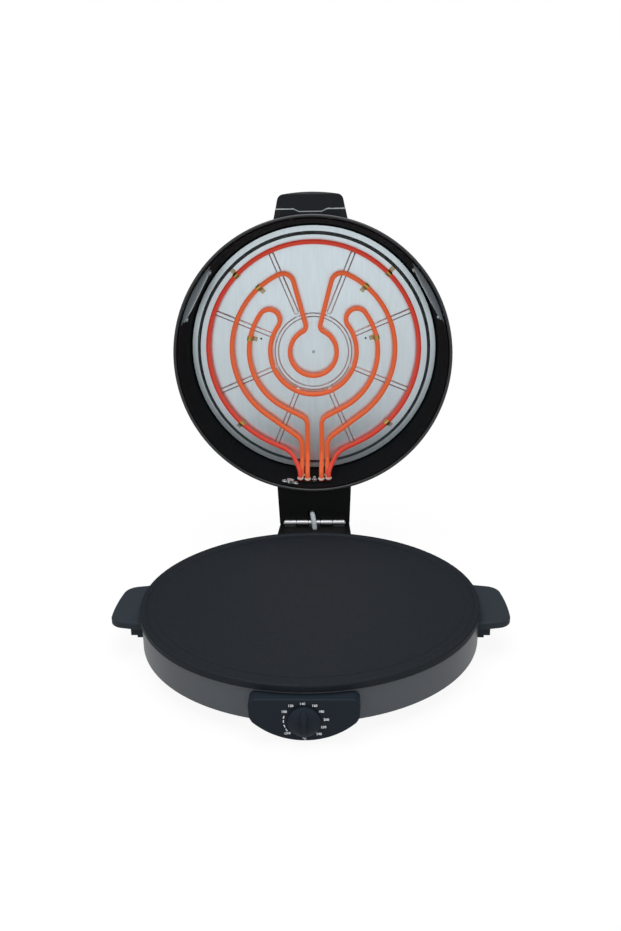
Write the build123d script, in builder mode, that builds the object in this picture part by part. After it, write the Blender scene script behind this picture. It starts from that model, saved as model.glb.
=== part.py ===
"""Electric roti maker: a round heated baking plate under a deep hinged heating lid.

Frame: millimetres, +Z up, the table at Z = 0, the controls towards -Y, the hinge towards +Y.
The origin lies on the table under the middle of the appliance with its lid open, and the lid
is modelled open, standing on edge against its stop. Closing turns it 90 degrees about the pin.
"""

from build123d import *
from math import acos, asin, atan2, cos, degrees, hypot, radians, sin, sqrt
import os

os.makedirs("parts", exist_ok=True)

# ------------------------------------------------------------------ driving dimensions
# Clearances
FIT = 0.1  # between curved faces of one body
RUNNING = 0.05  # radial, between a turning shaft and its bore
GAP = 0.4  # between the lid and the base where they come close

# Baking plate
PLATE_R = 201.0
PLATE_TOP = 60.0  # top of the rim above the table
RIM_SIDE = 8.0
RIM_BAND = 6.5
RIM_SLOPE = 2.4
PLATE_SINK = 1.6  # cooking surface below the rim
PLATE_T = 5.0
PLATE_RING_R = 184.0
PLATE_RING_W = 0.8
PLATE_RING_DEEP = 0.2
SEAT_W = 12.0  # width of the underside that rests on the housing

# Tubular heaters
TUBE_R = 3.3
LOWER_OUTER_R = 150.0
LOWER_INNER_R = 95.0
LOWER_START = 105.0  # degrees from +X, where both ends of the lower heater lie
LOWER_TURN = 75.0  # where the outer ring turns back into the inner one
LOWER_END_RUN = 14.0
LOWER_END_DROP = 26.0
TUBE_BEND_R = 10.0
CLAMP_OUTER_AT = (0.0, 180.0, 250.0, 290.0)
CLAMP_INNER_AT = (20.0, 160.0, 270.0)
CLAMP_W = 12.0
CLAMP_T = 1.2
CLAMP_BOSS_R = 4.0
CLAMP_BOSS_OUT = 9.5  # boss axis from the tube's centre line

# Base housing and underside
HOUSING_R = 199.3
SHEET = 0.8
HOUSING_FOOT = 17.0  # lower edge above the table
TOP_FLANGE = 6.0
TOP_BEAD_R = 0.95  # rolled edge under the plate's rim
BOTTOM_FLANGE = 12.0
COVER_R = 197.0
COVER_SCREW_R = 193.0
COVER_SCREWS = 6
VENT_RING_R = 70.0
VENT_SLOTS = 12
VENT_LONG = 34.0
VENT_WIDE = 4.0
FOOT_RING_R = 165.0
FOOT_AT = (55.0, 125.0, 235.0, 305.0)
FOOT_TOP_R = 13.0
FOOT_BOTTOM_R = 11.0
FOOT_RECESS_R = 6.0
FOOT_RECESS = 10.0
REAR_FOOT_X = 36.0
REAR_FOOT_FROM_WALL = 17.0
POST_RING_R = 172.0
POST_AT = (90.0, 210.0, 330.0)
POST_R = 6.0
POST_SCREW_R = 2.5
POST_BOSS_DROP = 9.4  # boss below the plate's underside
SHIELD_Z = 30.0
SHIELD_T = 0.5
SHIELD_R = 183.0

# Side handles
HANDLE_REACH = 236.0
HANDLE_BOW = 3.2  # how far the outer edge bows out between its corners
HANDLE_TOP = 45.7
HANDLE_T = 8.7
HANDLE_ROOT = 51.6  # half length along the housing
HANDLE_TIP = 45.0  # half length at the outer edge
HANDLE_ROOT_X = 203.0
HANDLE_CORNER_R = 19.0
HANDLE_BACK = 5.0  # handles' middle behind the plate's axis
BRACKET_REACH = 210.0
BRACKET_HALF = 42.0
BRACKET_FOOT = 25.0
TOE_REACH = 203.5
TOE_FOOT = 20.5
HANDLE_SCREW_AT = 7.0  # degrees each side of the handle's middle
HANDLE_SCREW_Z = 33.0

# Control panel, thermostat and knob
PANEL_FACE = 210.0  # from the plate's axis
PANEL_TOP = 50.0
PANEL_HALF = 55.2
PANEL_WAIST = 54.3
PANEL_WAIST_Z = 30.0
PANEL_ARC_HALF = 51.4
PANEL_ARC_Z = 24.4
PANEL_FOOT = 3.8
PANEL_CORNER_R = 8.0
PANEL_WALL = 2.2
PANEL_EDGE_R = 1.6
PANEL_DEPTH = 24.0
PANEL_SCREW_AT = 11.5  # degrees each side of the front
PANEL_SCREW_Z = 34.0
KNOB_Z = 26.7
KNOB_R = 16.2
KNOB_SKIRT = 2.8
KNOB_DOME = 8.4
KNOB_GRIP_LONG = 28.0
KNOB_GRIP_WIDE = 8.0
KNOB_GRIP_EDGE = 5.0  # height of the grip's rounded ends above the knob's back
KNOB_HEIGHT = 12.0
SHAFT_R = 3.0
SHAFT_FLAT = 1.0  # depth of the flat on the shaft
THERMOSTAT_W = 34.0
THERMOSTAT_D = 24.0
THERMOSTAT_Z = (18.6, 43.0)
THERMOSTAT_FRONT = 196.8  # mounting plate from the plate's axis
THERMOSTAT_PLATE_T = 1.2
THERMOSTAT_SCREW_X = 19.0
BULB_R = 2.0
BULB_LONG = 46.0
CAPILLARY_R = 0.8

# Hinge
PIN_BACK = 242.0  # pin axis behind the plate's axis
PIN_DROP = 1.8  # pin axis below the rim's top
PIN_R = 2.5
BARREL_R = 4.3
BARREL_HALF = 44.0
KNUCKLES = 5
KNUCKLE_GAP = 1.2
LEAF_T = 1.6
LEAF_HALF = 44.0
BASE_LEAF_RUN = 30.0
LID_LEAF_RUN = 34.0

# Hinge housing, fixed to the base
HINGE_BOX_HALF = 54.5  # at the plate
HINGE_BOX_REAR_HALF = 50.0
HINGE_BOX_START = 180.0  # ahead of the housing's wall, behind the plate's axis
HINGE_BOX_BACK = 294.0  # rear face behind the plate's axis
HINGE_BOX_WALL = 2.0
HINGE_BOX_DECK = 53.2  # top of the deck under the barrel, and the lid's stop
HINGE_BOX_EDGE_R = 3.0
GLAND_Z = 34.0
GLAND_X = -26.0
GLAND_R = 8.0
GLAND_HOLE_R = 3.6
GLAND_LONG = 9.0

# Lid
LID_R = 195.0  # rolled rim
LID_WALL_R = 192.6
LID_DEPTH = 86.0  # rim plane to the crown
LID_SHOULDER = 79.0  # rim plane to the crown's edge
LID_SHOULDER_R = 16.0
CROWN_FLAT_R = 30.0  # pressed flat in the middle of the crown
LID_SHEET = 0.7
RIM_BEAD = 4.4
LINER_RIM_R = 189.6
LINER_BACK_R = 182.4
LINER_SHEET = 0.6
LINER_START = 2.0
REFLECTOR_DEEP = 69.0  # rim plane to the reflector's face
REFLECTOR_R = 179.0
REFLECTOR_T = 0.8
LEDGE_R = 174.5  # inner edge of the ledge the reflector rests on
STEP_INNER_R = 166.6  # edge of the disc, where the cone down to the flange starts
STEP_OUTER_R = 171.6
STEP_DEEP = 3.0  # disc's face to the flange's face
RIBS = 8
RIB_FIRST = 22.5
RIB_WIDE = 8.0
RIB_HIGH = 2.0
RIB_INNER_R = 59.0
RIB_OUTER_R = 155.0
HUB_RING_OUTER_R = 57.5
HUB_RING_INNER_R = 50.5

# Lid heaters, in front of the reflector; centres are above the lid's own centre
HEATER_DEEP = 59.0  # rim plane to the tubes' plane
OUTER_R, OUTER_UP = 153.8, 3.2
MIDDLE_R, MIDDLE_UP = 119.3, 3.0
INNER_R, INNER_UP = 94.3, 1.0
HAIRPIN_R = 63.2
HAIRPIN_AT = 36.3
LOBE_R = 15.5
LOOP_R = 34.2
NECK_R = 9.0
NECK_X, NECK_Z = 11.0, 42.0  # a point of the leg between lobe and loop
NECK_LEAN = 15.0
OUTER_KNEE = (35.0, -150.5)
MIDDLE_KNEE = (18.9, -132.0)
INNER_KNEE = (10.8, -100.0)
OUTER_LEG_X = 21.0
INNER_LEG_X = 10.2
MIDDLE_DIP = -163.0
INNER_DIP = -156.0
FRONT_ROW_DEEP = 26.0  # terminal rows from the rim plane
BACK_ROW_DEEP = 38.0
LEG_TURN = -171.0
LEG_END = -198.0

# Clips that hold the lid heaters, as angles on each tube
OUTER_CLIPS_AT = (45.0, 135.0, 225.0, 315.0)
MIDDLE_CLIPS_AT = (50.0, 130.0)
INNER_CLIPS_AT = (12.5, 167.5)
CLIP_T = 0.7
CLIP_W = 6.5
CLIP_SCREW_R = 1.2
CLIP_HEAD_R = 2.2
CLIP_SCREW_OUT = 7.5  # screw axis from the tube's centre line

# Terminal plate, beads and tabs
TERMINAL_PLATE_X = 25.0
TERMINAL_PLATE_T = 1.0
TERMINAL_PLATE_DEEP = (18.0, 46.0)
BEAD_R = 4.4
BEAD_H = 5.0
BUSH_R = 4.6  # ceramic bushing round each tube on the plate
BUSH_H = 2.2
BOLT_DEEP = 22.5  # the plate's bolt behind the rim
BOLT_STUD = 6.5
TERMINAL_PIN_R = 0.9
TAB_LONG = 9.0
TAB_WIDE = 4.0
TAB_T = 0.8
CUTOUT_AT = -101.0  # degrees round the lid, the limit thermostat on the liner
CUTOUT_DEEP = 11.0
CUTOUT_R = 5.5
CUTOUT_H = 4.5
CUTOUT_LONG = 24.0
CUTOUT_WIDE = 8.0
CUTOUT_SCREW_X = 8.5

# Side windows of the lid
WINDOW_AT = 29.0  # degrees above the horizontal
WINDOW_DEEP = 13.0  # rim plane to the window's middle
PANE_OUT = 182.6  # outer face of the flat pane from the lid's axis
PANE_T = 2.4
PANE_LONG = 80.0
PANE_WIDE = 14.0
FRAME_WIDE = 16.0
TONGUE_LONG = 62.0
TONGUE_WIDE = 11.0
WINDOW_SLOT_LONG = 58.0
WINDOW_SLOT_WIDE = 7.0
PANE_SCREW_AT = 36.5

# Steam vents
VENT_R = 1.5
VENT_AT = (-47.5, -132.5)
VENT_ROWS_DEEP = (52.0, 59.0)
VENTS_PER_ROW = 6
VENT_STEP = 2.4  # degrees

# Lid handle, at the edge away from the hinge; heights are radii from the lid's axis
GRIP_HALF_BASE = 56.2  # at GRIP_FOOT_R
GRIP_FOOT_R = 160.0
GRIP_HALF_SEAM = 47.2
GRIP_STEP = 0.6  # the grip stands back from its base on each side
GRIP_HALF_TOP = 43.0
GRIP_SEAM_R = 200.6
GRIP_SEAM_DROP = 3.3
GRIP_SEAM_FLAT = 15.0
GRIP_SEAM_RAMP = 7.5
TRIM_T = 1.3  # bright strip between base and grip
TRIM_PROUD = 0.35
GRIP_END_R = 223.2
GRIP_SIDE_R = 219.2
GRIP_CORNER_R = 9.0
GRIP_FACE_HALF = 40.5  # half width of the front face between its bevels
GRIP_BEVEL = 9.0
GRIP_DEEP = (8.0, 46.0)
GRIP_END_DEEP = (13.0, 39.0)
GRIP_SCREW_DEEP = 27.0

# Hinge arm, the black terminal box of the lid
ARM_HALF = 51.5  # at the foot
ARM_TOP_HALF = 54.2
ARM_TOP = 120.0
ARM_WALL = 2.0
ARM_BACK_DEEP = 45.0  # depth of the box behind its front face
ARM_CLEAR = 0.3  # front face behind the barrel
ARM_COVER_T = 1.5
ARM_SCREW_X = 45.0
ARM_SCREW_Z = (66.0, 96.0)
ARM_FOOT = 53.5  # lower face, which meets the deck as a stop

# Grey sleeved lead across the hinge
LEAD_R = 3.6
LEAD_HOLE_R = 6.5
LEAD_TOP_X, LEAD_TOP_Z = -4.0, 70.5
LEAD_LOW_X, LEAD_LOW_BACK = 0.5, 230.6
LEAD_CLAMP_W = 9.0

# Fasteners
SCREW_R = 1.5
SCREW_HEAD_R = 2.9
SCREW_HEAD_H = 1.8
BIG_SCREW_R = 2.0
BIG_HEAD_R = 3.8
BIG_HEAD_H = 2.4

# ------------------------------------------------------------------ derived places
PIN_Z = PLATE_TOP - PIN_DROP
LID_RIM_BACK = PIN_BACK + PLATE_TOP + GAP - PIN_Z
FRONT_REACH = PANEL_FACE + GAP + KNOB_HEIGHT
REAR_REACH = LID_RIM_BACK + LID_DEPTH
PLATE_Y = (FRONT_REACH - REAR_REACH) / 2
PIN_Y = PLATE_Y + PIN_BACK
LID_Y = PLATE_Y + LID_RIM_BACK
LID_Z = PIN_Z + PIN_BACK
COOK_Z = PLATE_TOP - PLATE_SINK
PLATE_BOTTOM = COOK_Z - PLATE_T
RIM_BOTTOM = PLATE_TOP - RIM_SIDE
LOWER_Z = PLATE_BOTTOM - FIT - TUBE_R
CLAMP_TOP = LOWER_Z - TUBE_R - FIT
COVER_TOP = HOUSING_FOOT
COVER_BOTTOM = COVER_TOP - SHEET
POST_BOSS_Z = PLATE_BOTTOM - POST_BOSS_DROP
HEATER_Y = LID_Y + HEATER_DEEP
REFLECTOR_Y = LID_Y + REFLECTOR_DEEP
HANDLE_Y = PLATE_Y + HANDLE_BACK
HANDLE_TURN = degrees(asin(HANDLE_BACK / HOUSING_R))
HANDLE_SIDES = (HANDLE_TURN, 180 - HANDLE_TURN)  # polar angles of the right and the left handle
CROWN_EDGE = LID_WALL_R - LID_SHOULDER_R
CROWN_SLOPE = CROWN_EDGE - CROWN_FLAT_R
CROWN_RISE = LID_DEPTH - LID_SHOULDER
CROWN_R = (CROWN_SLOPE**2 + CROWN_RISE**2) / (2 * CROWN_RISE)
ARM_FRONT = PIN_Y + BARREL_R + ARM_CLEAR
ARM_BACK = ARM_FRONT + ARM_BACK_DEEP
KNUCKLE_LONG = (2 * BARREL_HALF - (KNUCKLES - 1) * KNUCKLE_GAP) / KNUCKLES
PANEL_Y = PLATE_Y - PANEL_FACE
LEAD_LOW_Y = PLATE_Y + LEAD_LOW_BACK

LOW = (Align.CENTER, Align.CENTER, Align.MIN)
HIGH = (Align.CENTER, Align.CENTER, Align.MAX)

PLATE_AXIS = Axis((0, PLATE_Y, 0), (0, 0, 1))
LID_AXIS = Axis((0, 0, LID_Z), (0, 1, 0))
SIDE_PROFILE = Plane((0, PLATE_Y, 0), x_dir=(1, 0, 0), z_dir=(0, -1, 0))  # radius, height
LID_PROFILE = Plane((0, LID_Y, LID_Z), x_dir=(0, 1, 0), z_dir=(1, 0, 0))  # depth, radius


def base_level(z):
    """Horizontal plane at height z with its origin on the plate's axis."""
    return Plane((0, PLATE_Y, z))


def lid_face(deep):
    """Plane across the lid's axis at a depth behind the rim, local y up, facing the rim."""
    return Plane((0, LID_Y + deep, LID_Z), x_dir=(1, 0, 0), z_dir=(0, -1, 0))


def base_radial(angle, radius, z):
    """Plane on the base at a polar angle, facing in towards the plate's axis."""
    out = Vector(cos(radians(angle)), sin(radians(angle)), 0)
    return Plane(Vector(0, PLATE_Y, z) + out * radius, x_dir=(0, 0, 1), z_dir=-out)


def lid_radial(angle, radius, deep):
    """Plane in the lid at a polar angle seen from the front, facing in to the lid's axis."""
    out = Vector(cos(radians(angle)), 0, sin(radians(angle)))
    return Plane(Vector(0, LID_Y + deep, LID_Z) + out * radius, x_dir=(0, 1, 0), z_dir=-out)


def place(plane):
    """Location of a plane, for a solid placed on it."""
    return Locations(plane)


def add_screw(plane, length, radius=SCREW_R, head_r=SCREW_HEAD_R, head_h=SCREW_HEAD_H):
    """Slotted pan-head screw on the plane: head above it, shank below it."""
    with place(plane):
        Cylinder(head_r, head_h, align=LOW)
        Cylinder(radius, length, align=HIGH)
    with place(plane.offset(head_h)):
        Box(head_r * 1.6, head_r * 0.28, head_h, mode=Mode.SUBTRACT)


def box_plan(inset, front, rear):
    """Corners of the hinge housing's tapering plan, moved inwards; ends behind the plate's axis."""
    slope = (HINGE_BOX_HALF - HINGE_BOX_REAR_HALF) / (HINGE_BOX_BACK - HINGE_BOX_START)
    front_half = HINGE_BOX_HALF - slope * (front - HINGE_BOX_START) - inset
    rear_half = HINGE_BOX_HALF - slope * (rear - HINGE_BOX_START) - inset
    front_y, rear_y = PLATE_Y + front, PLATE_Y + rear
    return [(-front_half, front_y), (front_half, front_y), (rear_half, rear_y), (-rear_half, rear_y)]


def arm_half(z):
    """Half width of the hinge arm at a height."""
    return ARM_HALF + (ARM_TOP_HALF - ARM_HALF) * (z - ARM_FOOT) / (ARM_TOP - ARM_FOOT)


def arm_outline(inset, low, high):
    """Corners of the hinge arm seen from the front, between two heights, moved inwards."""
    low_half, high_half = arm_half(low) - inset, arm_half(high) - inset
    return [(-low_half, low), (low_half, low), (high_half, high), (-high_half, high)]


def cut_hole(plane, radius, depth):
    """Round hole through the open part, centred on the plane."""
    with place(plane):
        Cylinder(radius, 2 * depth, mode=Mode.SUBTRACT)


def tube_point(x, z, back=HEATER_Y):
    """Point at lid coordinates x across and z above the lid's centre."""
    return Vector(x, back, LID_Z + z)


def on_circle(radius, angle, up=0.0, x=0.0):
    """Point of the heaters' plane on a circle whose centre is up above the lid's centre."""
    return tube_point(x + radius * cos(radians(angle)), up + radius * sin(radians(angle)))


def lid_arc(radius, start, end, up=0.0, x=0.0):
    """Arc in the heaters' plane from one angle to another, by way of the angle between."""
    ThreePointArc(
        on_circle(radius, start, up, x),
        on_circle(radius, (start + end) / 2, up, x),
        on_circle(radius, end, up, x),
    )


def tangent_angle(radius, up, knee):
    """Angle at which a tangent of the circle, on the side of the flank, reaches the knee."""
    x, z = knee[0], knee[1] - up
    return degrees(atan2(z, x) + acos(radius / hypot(x, z)))


# ------------------------------------------------------------------ baking plate
with BuildPart() as baking_plate:
    with BuildSketch(SIDE_PROFILE) as plate_profile:
        with BuildLine():
            Polyline(
                (0, PLATE_BOTTOM),
                (PLATE_R - SEAT_W, PLATE_BOTTOM),
                (PLATE_R - SEAT_W, RIM_BOTTOM),
                (PLATE_R, RIM_BOTTOM),
                (PLATE_R, PLATE_TOP),
                (PLATE_R - RIM_BAND, PLATE_TOP),
                (PLATE_R - RIM_BAND - RIM_SLOPE, COOK_Z),
                (0, COOK_Z),
                close=True,
            )
        make_face()
        fillet(plate_profile.vertices().group_by(Axis.X)[-1].sort_by(Axis.Y)[-1], 2.0)
        fillet(plate_profile.vertices().group_by(Axis.X)[-1].sort_by(Axis.Y)[0], 1.2)
    revolve(axis=PLATE_AXIS)
    with BuildSketch(base_level(COOK_Z)):
        Circle(PLATE_RING_R)
        Circle(PLATE_RING_R - PLATE_RING_W, mode=Mode.SUBTRACT)
    extrude(amount=-PLATE_RING_DEEP, mode=Mode.SUBTRACT)
    with BuildSketch(base_level(PLATE_BOTTOM)):
        for angle in POST_AT:
            with PolarLocations(POST_RING_R, 1, angle):
                Circle(POST_R)
    extrude(amount=-POST_BOSS_DROP)
    with BuildSketch(base_level(PLATE_BOTTOM)):
        for ring, angles in ((LOWER_OUTER_R, CLAMP_OUTER_AT), (LOWER_INNER_R, CLAMP_INNER_AT)):
            for angle in angles:
                for side in (-CLAMP_BOSS_OUT, CLAMP_BOSS_OUT):
                    with PolarLocations(ring + side, 1, angle):
                        Circle(CLAMP_BOSS_R)
    extrude(amount=CLAMP_TOP - PLATE_BOTTOM)
    with BuildSketch(base_level(POST_BOSS_Z)):
        for angle in POST_AT:
            with PolarLocations(POST_RING_R, 1, angle):
                Circle(POST_SCREW_R + FIT)
    extrude(amount=POST_BOSS_DROP - 1.5, mode=Mode.SUBTRACT)
    with BuildSketch(base_level(CLAMP_TOP)):
        for ring, angles in ((LOWER_OUTER_R, CLAMP_OUTER_AT), (LOWER_INNER_R, CLAMP_INNER_AT)):
            for angle in angles:
                for side in (-CLAMP_BOSS_OUT, CLAMP_BOSS_OUT):
                    with PolarLocations(ring + side, 1, angle):
                        Circle(SCREW_R + FIT)
    extrude(amount=PLATE_BOTTOM - CLAMP_TOP - 0.5, mode=Mode.SUBTRACT)
baking_plate.part.label = "baking_plate"
export_step(baking_plate.part, "parts/baking_plate.step")

# ------------------------------------------------------------------ lower heater
with BuildPart() as lower_heater:
    with BuildLine() as lower_path:
        for ring in (LOWER_OUTER_R, LOWER_INNER_R):
            begin = Vector(0, PLATE_Y, LOWER_Z) + Vector(ring, 0, 0).rotate(Axis.Z, LOWER_START)
            along = Vector(0, -1, 0).rotate(Axis.Z, LOWER_START)
            knee = begin + along * (LOWER_END_RUN + TUBE_BEND_R)
            FilletPolyline(begin, knee, knee - Vector(0, 0, LOWER_END_DROP), radius=TUBE_BEND_R)
        for ring, first, last in (
            (LOWER_OUTER_R, LOWER_START, LOWER_TURN + 360),
            (LOWER_INNER_R, LOWER_START, LOWER_TURN + 360),
        ):
            ThreePointArc(
                Vector(0, PLATE_Y, LOWER_Z) + Vector(ring, 0, 0).rotate(Axis.Z, first),
                Vector(0, PLATE_Y, LOWER_Z) + Vector(ring, 0, 0).rotate(Axis.Z, (first + last) / 2),
                Vector(0, PLATE_Y, LOWER_Z) + Vector(ring, 0, 0).rotate(Axis.Z, last),
            )
        turn_r = (LOWER_OUTER_R - LOWER_INNER_R) / 2
        turn_mid = Vector(LOWER_INNER_R + turn_r, turn_r, 0).rotate(Axis.Z, LOWER_TURN)
        ThreePointArc(
            Vector(0, PLATE_Y, LOWER_Z) + Vector(LOWER_OUTER_R, 0, 0).rotate(Axis.Z, LOWER_TURN),
            Vector(0, PLATE_Y, LOWER_Z) + turn_mid,
            Vector(0, PLATE_Y, LOWER_Z) + Vector(LOWER_INNER_R, 0, 0).rotate(Axis.Z, LOWER_TURN),
        )
    lower_wire = lower_path.wires()[0]
    with BuildSketch(Plane(lower_wire @ 0, z_dir=lower_wire % 0)):
        Circle(TUBE_R)
    sweep(path=lower_wire)
lower_heater.part.label = "lower_heater"
export_step(lower_heater.part, "parts/lower_heater.step")

# ------------------------------------------------------------------ clamps of the lower heater
with BuildPart() as lower_heater_clamps:
    for ring, angles in ((LOWER_OUTER_R, CLAMP_OUTER_AT), (LOWER_INNER_R, CLAMP_INNER_AT)):
        for angle in angles:
            with BuildSketch(base_level(CLAMP_TOP)):
                with PolarLocations(ring, 1, angle):
                    SlotCenterToCenter(2 * CLAMP_BOSS_OUT, CLAMP_W * 0.75)
                for side in (-CLAMP_BOSS_OUT, CLAMP_BOSS_OUT):
                    with PolarLocations(ring + side, 1, angle):
                        Circle(SCREW_R + FIT, mode=Mode.SUBTRACT)
            extrude(amount=-CLAMP_T)
lower_heater_clamps.part.label = "lower_heater_clamps"
export_step(lower_heater_clamps.part, "parts/lower_heater_clamps.step")

with BuildPart() as lower_clamp_screws:
    for ring, angles in ((LOWER_OUTER_R, CLAMP_OUTER_AT), (LOWER_INNER_R, CLAMP_INNER_AT)):
        for angle in angles:
            for side in (-CLAMP_BOSS_OUT, CLAMP_BOSS_OUT):
                spot = Vector(ring + side, 0, 0).rotate(Axis.Z, angle)
                add_screw(Plane((spot.X, PLATE_Y + spot.Y, CLAMP_TOP - CLAMP_T), z_dir=(0, 0, -1)), 5.5)
lower_clamp_screws.part.label = "lower_clamp_screws"
export_step(lower_clamp_screws.part, "parts/lower_clamp_screws.step")

# ------------------------------------------------------------------ heat shield
with BuildPart() as heat_shield:
    with BuildSketch(base_level(SHIELD_Z)):
        Circle(SHIELD_R)
        for angle in POST_AT:
            with PolarLocations(POST_RING_R, 1, angle):
                Circle(POST_SCREW_R + FIT, mode=Mode.SUBTRACT)
        for ring in (LOWER_OUTER_R, LOWER_INNER_R):
            leg = Vector(ring, -LOWER_END_RUN - TUBE_BEND_R, 0).rotate(Axis.Z, LOWER_START)
            with Locations((leg.X, leg.Y)):
                Circle(TUBE_R + 2, mode=Mode.SUBTRACT)
        with Locations((0, -SHIELD_R)):
            Rectangle(THERMOSTAT_W + 14, 2 * (SHIELD_R - 160), mode=Mode.SUBTRACT)
        with Locations((36, -60)):
            Circle(4, mode=Mode.SUBTRACT)
    extrude(amount=SHIELD_T)
heat_shield.part.label = "heat_shield"
export_step(heat_shield.part, "parts/heat_shield.step")

# ------------------------------------------------------------------ plate spacers and screws
with BuildPart() as plate_spacers:
    for bottom, top in ((COVER_TOP, SHIELD_Z), (SHIELD_Z + SHIELD_T, POST_BOSS_Z)):
        with BuildSketch(base_level(bottom)):
            for angle in POST_AT:
                with PolarLocations(POST_RING_R, 1, angle):
                    Circle(POST_R)
                    Circle(POST_SCREW_R + FIT, mode=Mode.SUBTRACT)
        extrude(amount=top - bottom)
plate_spacers.part.label = "plate_spacers"
export_step(plate_spacers.part, "parts/plate_spacers.step")

with BuildPart() as plate_screws:
    for angle in POST_AT:
        spot = Vector(POST_RING_R, 0, 0).rotate(Axis.Z, angle)
        add_screw(
            Plane((spot.X, PLATE_Y + spot.Y, COVER_BOTTOM), z_dir=(0, 0, -1)),
            POST_BOSS_Z + 5 - COVER_BOTTOM,
            POST_SCREW_R,
            BIG_HEAD_R + 0.6,
            BIG_HEAD_H,
        )
plate_screws.part.label = "plate_screws"
export_step(plate_screws.part, "parts/plate_screws.step")

# ------------------------------------------------------------------ base housing
with BuildPart() as base_housing:
    with BuildSketch(SIDE_PROFILE):
        with BuildLine():
            Polyline(
                (HOUSING_R - BOTTOM_FLANGE, HOUSING_FOOT),
                (HOUSING_R, HOUSING_FOOT),
                (HOUSING_R, RIM_BOTTOM),
                (HOUSING_R - TOP_FLANGE, RIM_BOTTOM),
                (HOUSING_R - TOP_FLANGE, RIM_BOTTOM - SHEET),
                (HOUSING_R - SHEET, RIM_BOTTOM - SHEET),
                (HOUSING_R - SHEET, HOUSING_FOOT + SHEET),
                (HOUSING_R - BOTTOM_FLANGE, HOUSING_FOOT + SHEET),
                close=True,
            )
        make_face()
        with Locations((HOUSING_R, RIM_BOTTOM - TOP_BEAD_R)):
            Circle(TOP_BEAD_R)
    revolve(axis=PLATE_AXIS)
    for index in range(COVER_SCREWS):
        spot = Vector(COVER_SCREW_R, 0, 0).rotate(Axis.Z, 360 / COVER_SCREWS * index)
        cut_hole(Plane((spot.X, PLATE_Y + spot.Y, HOUSING_FOOT)), SCREW_R + FIT, 3)
    # shaft and thermostat screws
    with place(Plane((0, PLATE_Y - HOUSING_R, KNOB_Z), z_dir=(0, -1, 0))):
        Cylinder(6, 6, mode=Mode.SUBTRACT)
    for x in (-THERMOSTAT_SCREW_X, THERMOSTAT_SCREW_X):
        with place(Plane((x, PLATE_Y - HOUSING_R, KNOB_Z + 7), z_dir=(0, -1, 0))):
            Cylinder(SCREW_R + FIT, 6, mode=Mode.SUBTRACT)
    for side in HANDLE_SIDES:
        for turn in (-HANDLE_SCREW_AT, HANDLE_SCREW_AT):
            cut_hole(base_radial(side + turn, HOUSING_R, HANDLE_SCREW_Z), BIG_SCREW_R + FIT, 3)
    for turn in (-PANEL_SCREW_AT, PANEL_SCREW_AT):
        cut_hole(base_radial(270 + turn, HOUSING_R, PANEL_SCREW_Z), SCREW_R + FIT, 3)
        cut_hole(base_radial(90 + turn * 1.13, HOUSING_R, PANEL_SCREW_Z), BIG_SCREW_R + FIT, 3)
    # opening for the leads into the hinge housing
    with place(Plane((0, PLATE_Y + HOUSING_R, 27))):
        Box(64, 16, 16, mode=Mode.SUBTRACT)
base_housing.part.label = "base_housing"
export_step(base_housing.part, "parts/base_housing.step")

# ------------------------------------------------------------------ bottom cover
with BuildPart() as bottom_cover:
    with BuildSketch(base_level(COVER_BOTTOM)):
        Circle(COVER_R)
        with Locations((0, HINGE_BOX_BACK / 2)):
            Rectangle(2 * (HINGE_BOX_REAR_HALF - HINGE_BOX_WALL - 1), HINGE_BOX_BACK - 2 * HINGE_BOX_WALL - 2)
        for angle in POST_AT:
            with PolarLocations(POST_RING_R, 1, angle):
                Circle(POST_SCREW_R + FIT, mode=Mode.SUBTRACT)
        for index in range(COVER_SCREWS):
            with PolarLocations(COVER_SCREW_R, 1, 360 / COVER_SCREWS * index):
                Circle(SCREW_R + FIT, mode=Mode.SUBTRACT)
        for angle in FOOT_AT:
            with PolarLocations(FOOT_RING_R, 1, angle):
                Circle(BIG_SCREW_R + FIT, mode=Mode.SUBTRACT)
        for x in (-REAR_FOOT_X, REAR_FOOT_X):
            with Locations((x, HINGE_BOX_BACK - REAR_FOOT_FROM_WALL)):
                Circle(BIG_SCREW_R + FIT, mode=Mode.SUBTRACT)
        for x in (-44, 44):
            with Locations((x, 216)):
                Circle(SCREW_R + FIT, mode=Mode.SUBTRACT)
        with PolarLocations(VENT_RING_R, VENT_SLOTS):
            SlotOverall(VENT_LONG, VENT_WIDE, mode=Mode.SUBTRACT)
    extrude(amount=SHEET)
bottom_cover.part.label = "bottom_cover"
export_step(bottom_cover.part, "parts/bottom_cover.step")

with BuildPart() as bottom_cover_screws:
    for index in range(COVER_SCREWS):
        spot = Vector(COVER_SCREW_R, 0, 0).rotate(Axis.Z, 360 / COVER_SCREWS * index)
        add_screw(Plane((spot.X, PLATE_Y + spot.Y, COVER_BOTTOM), z_dir=(0, 0, -1)), 5)
    for x in (-44, 44):
        add_screw(Plane((x, PLATE_Y + 216, COVER_BOTTOM), z_dir=(0, 0, -1)), 9)
bottom_cover_screws.part.label = "bottom_cover_screws"
export_step(bottom_cover_screws.part, "parts/bottom_cover_screws.step")

# ------------------------------------------------------------------ feet
FOOT_SPOTS = [Vector(FOOT_RING_R, 0, 0).rotate(Axis.Z, angle) for angle in FOOT_AT]
FOOT_SPOTS += [Vector(x, HINGE_BOX_BACK - REAR_FOOT_FROM_WALL, 0) for x in (-REAR_FOOT_X, REAR_FOOT_X)]

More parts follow.
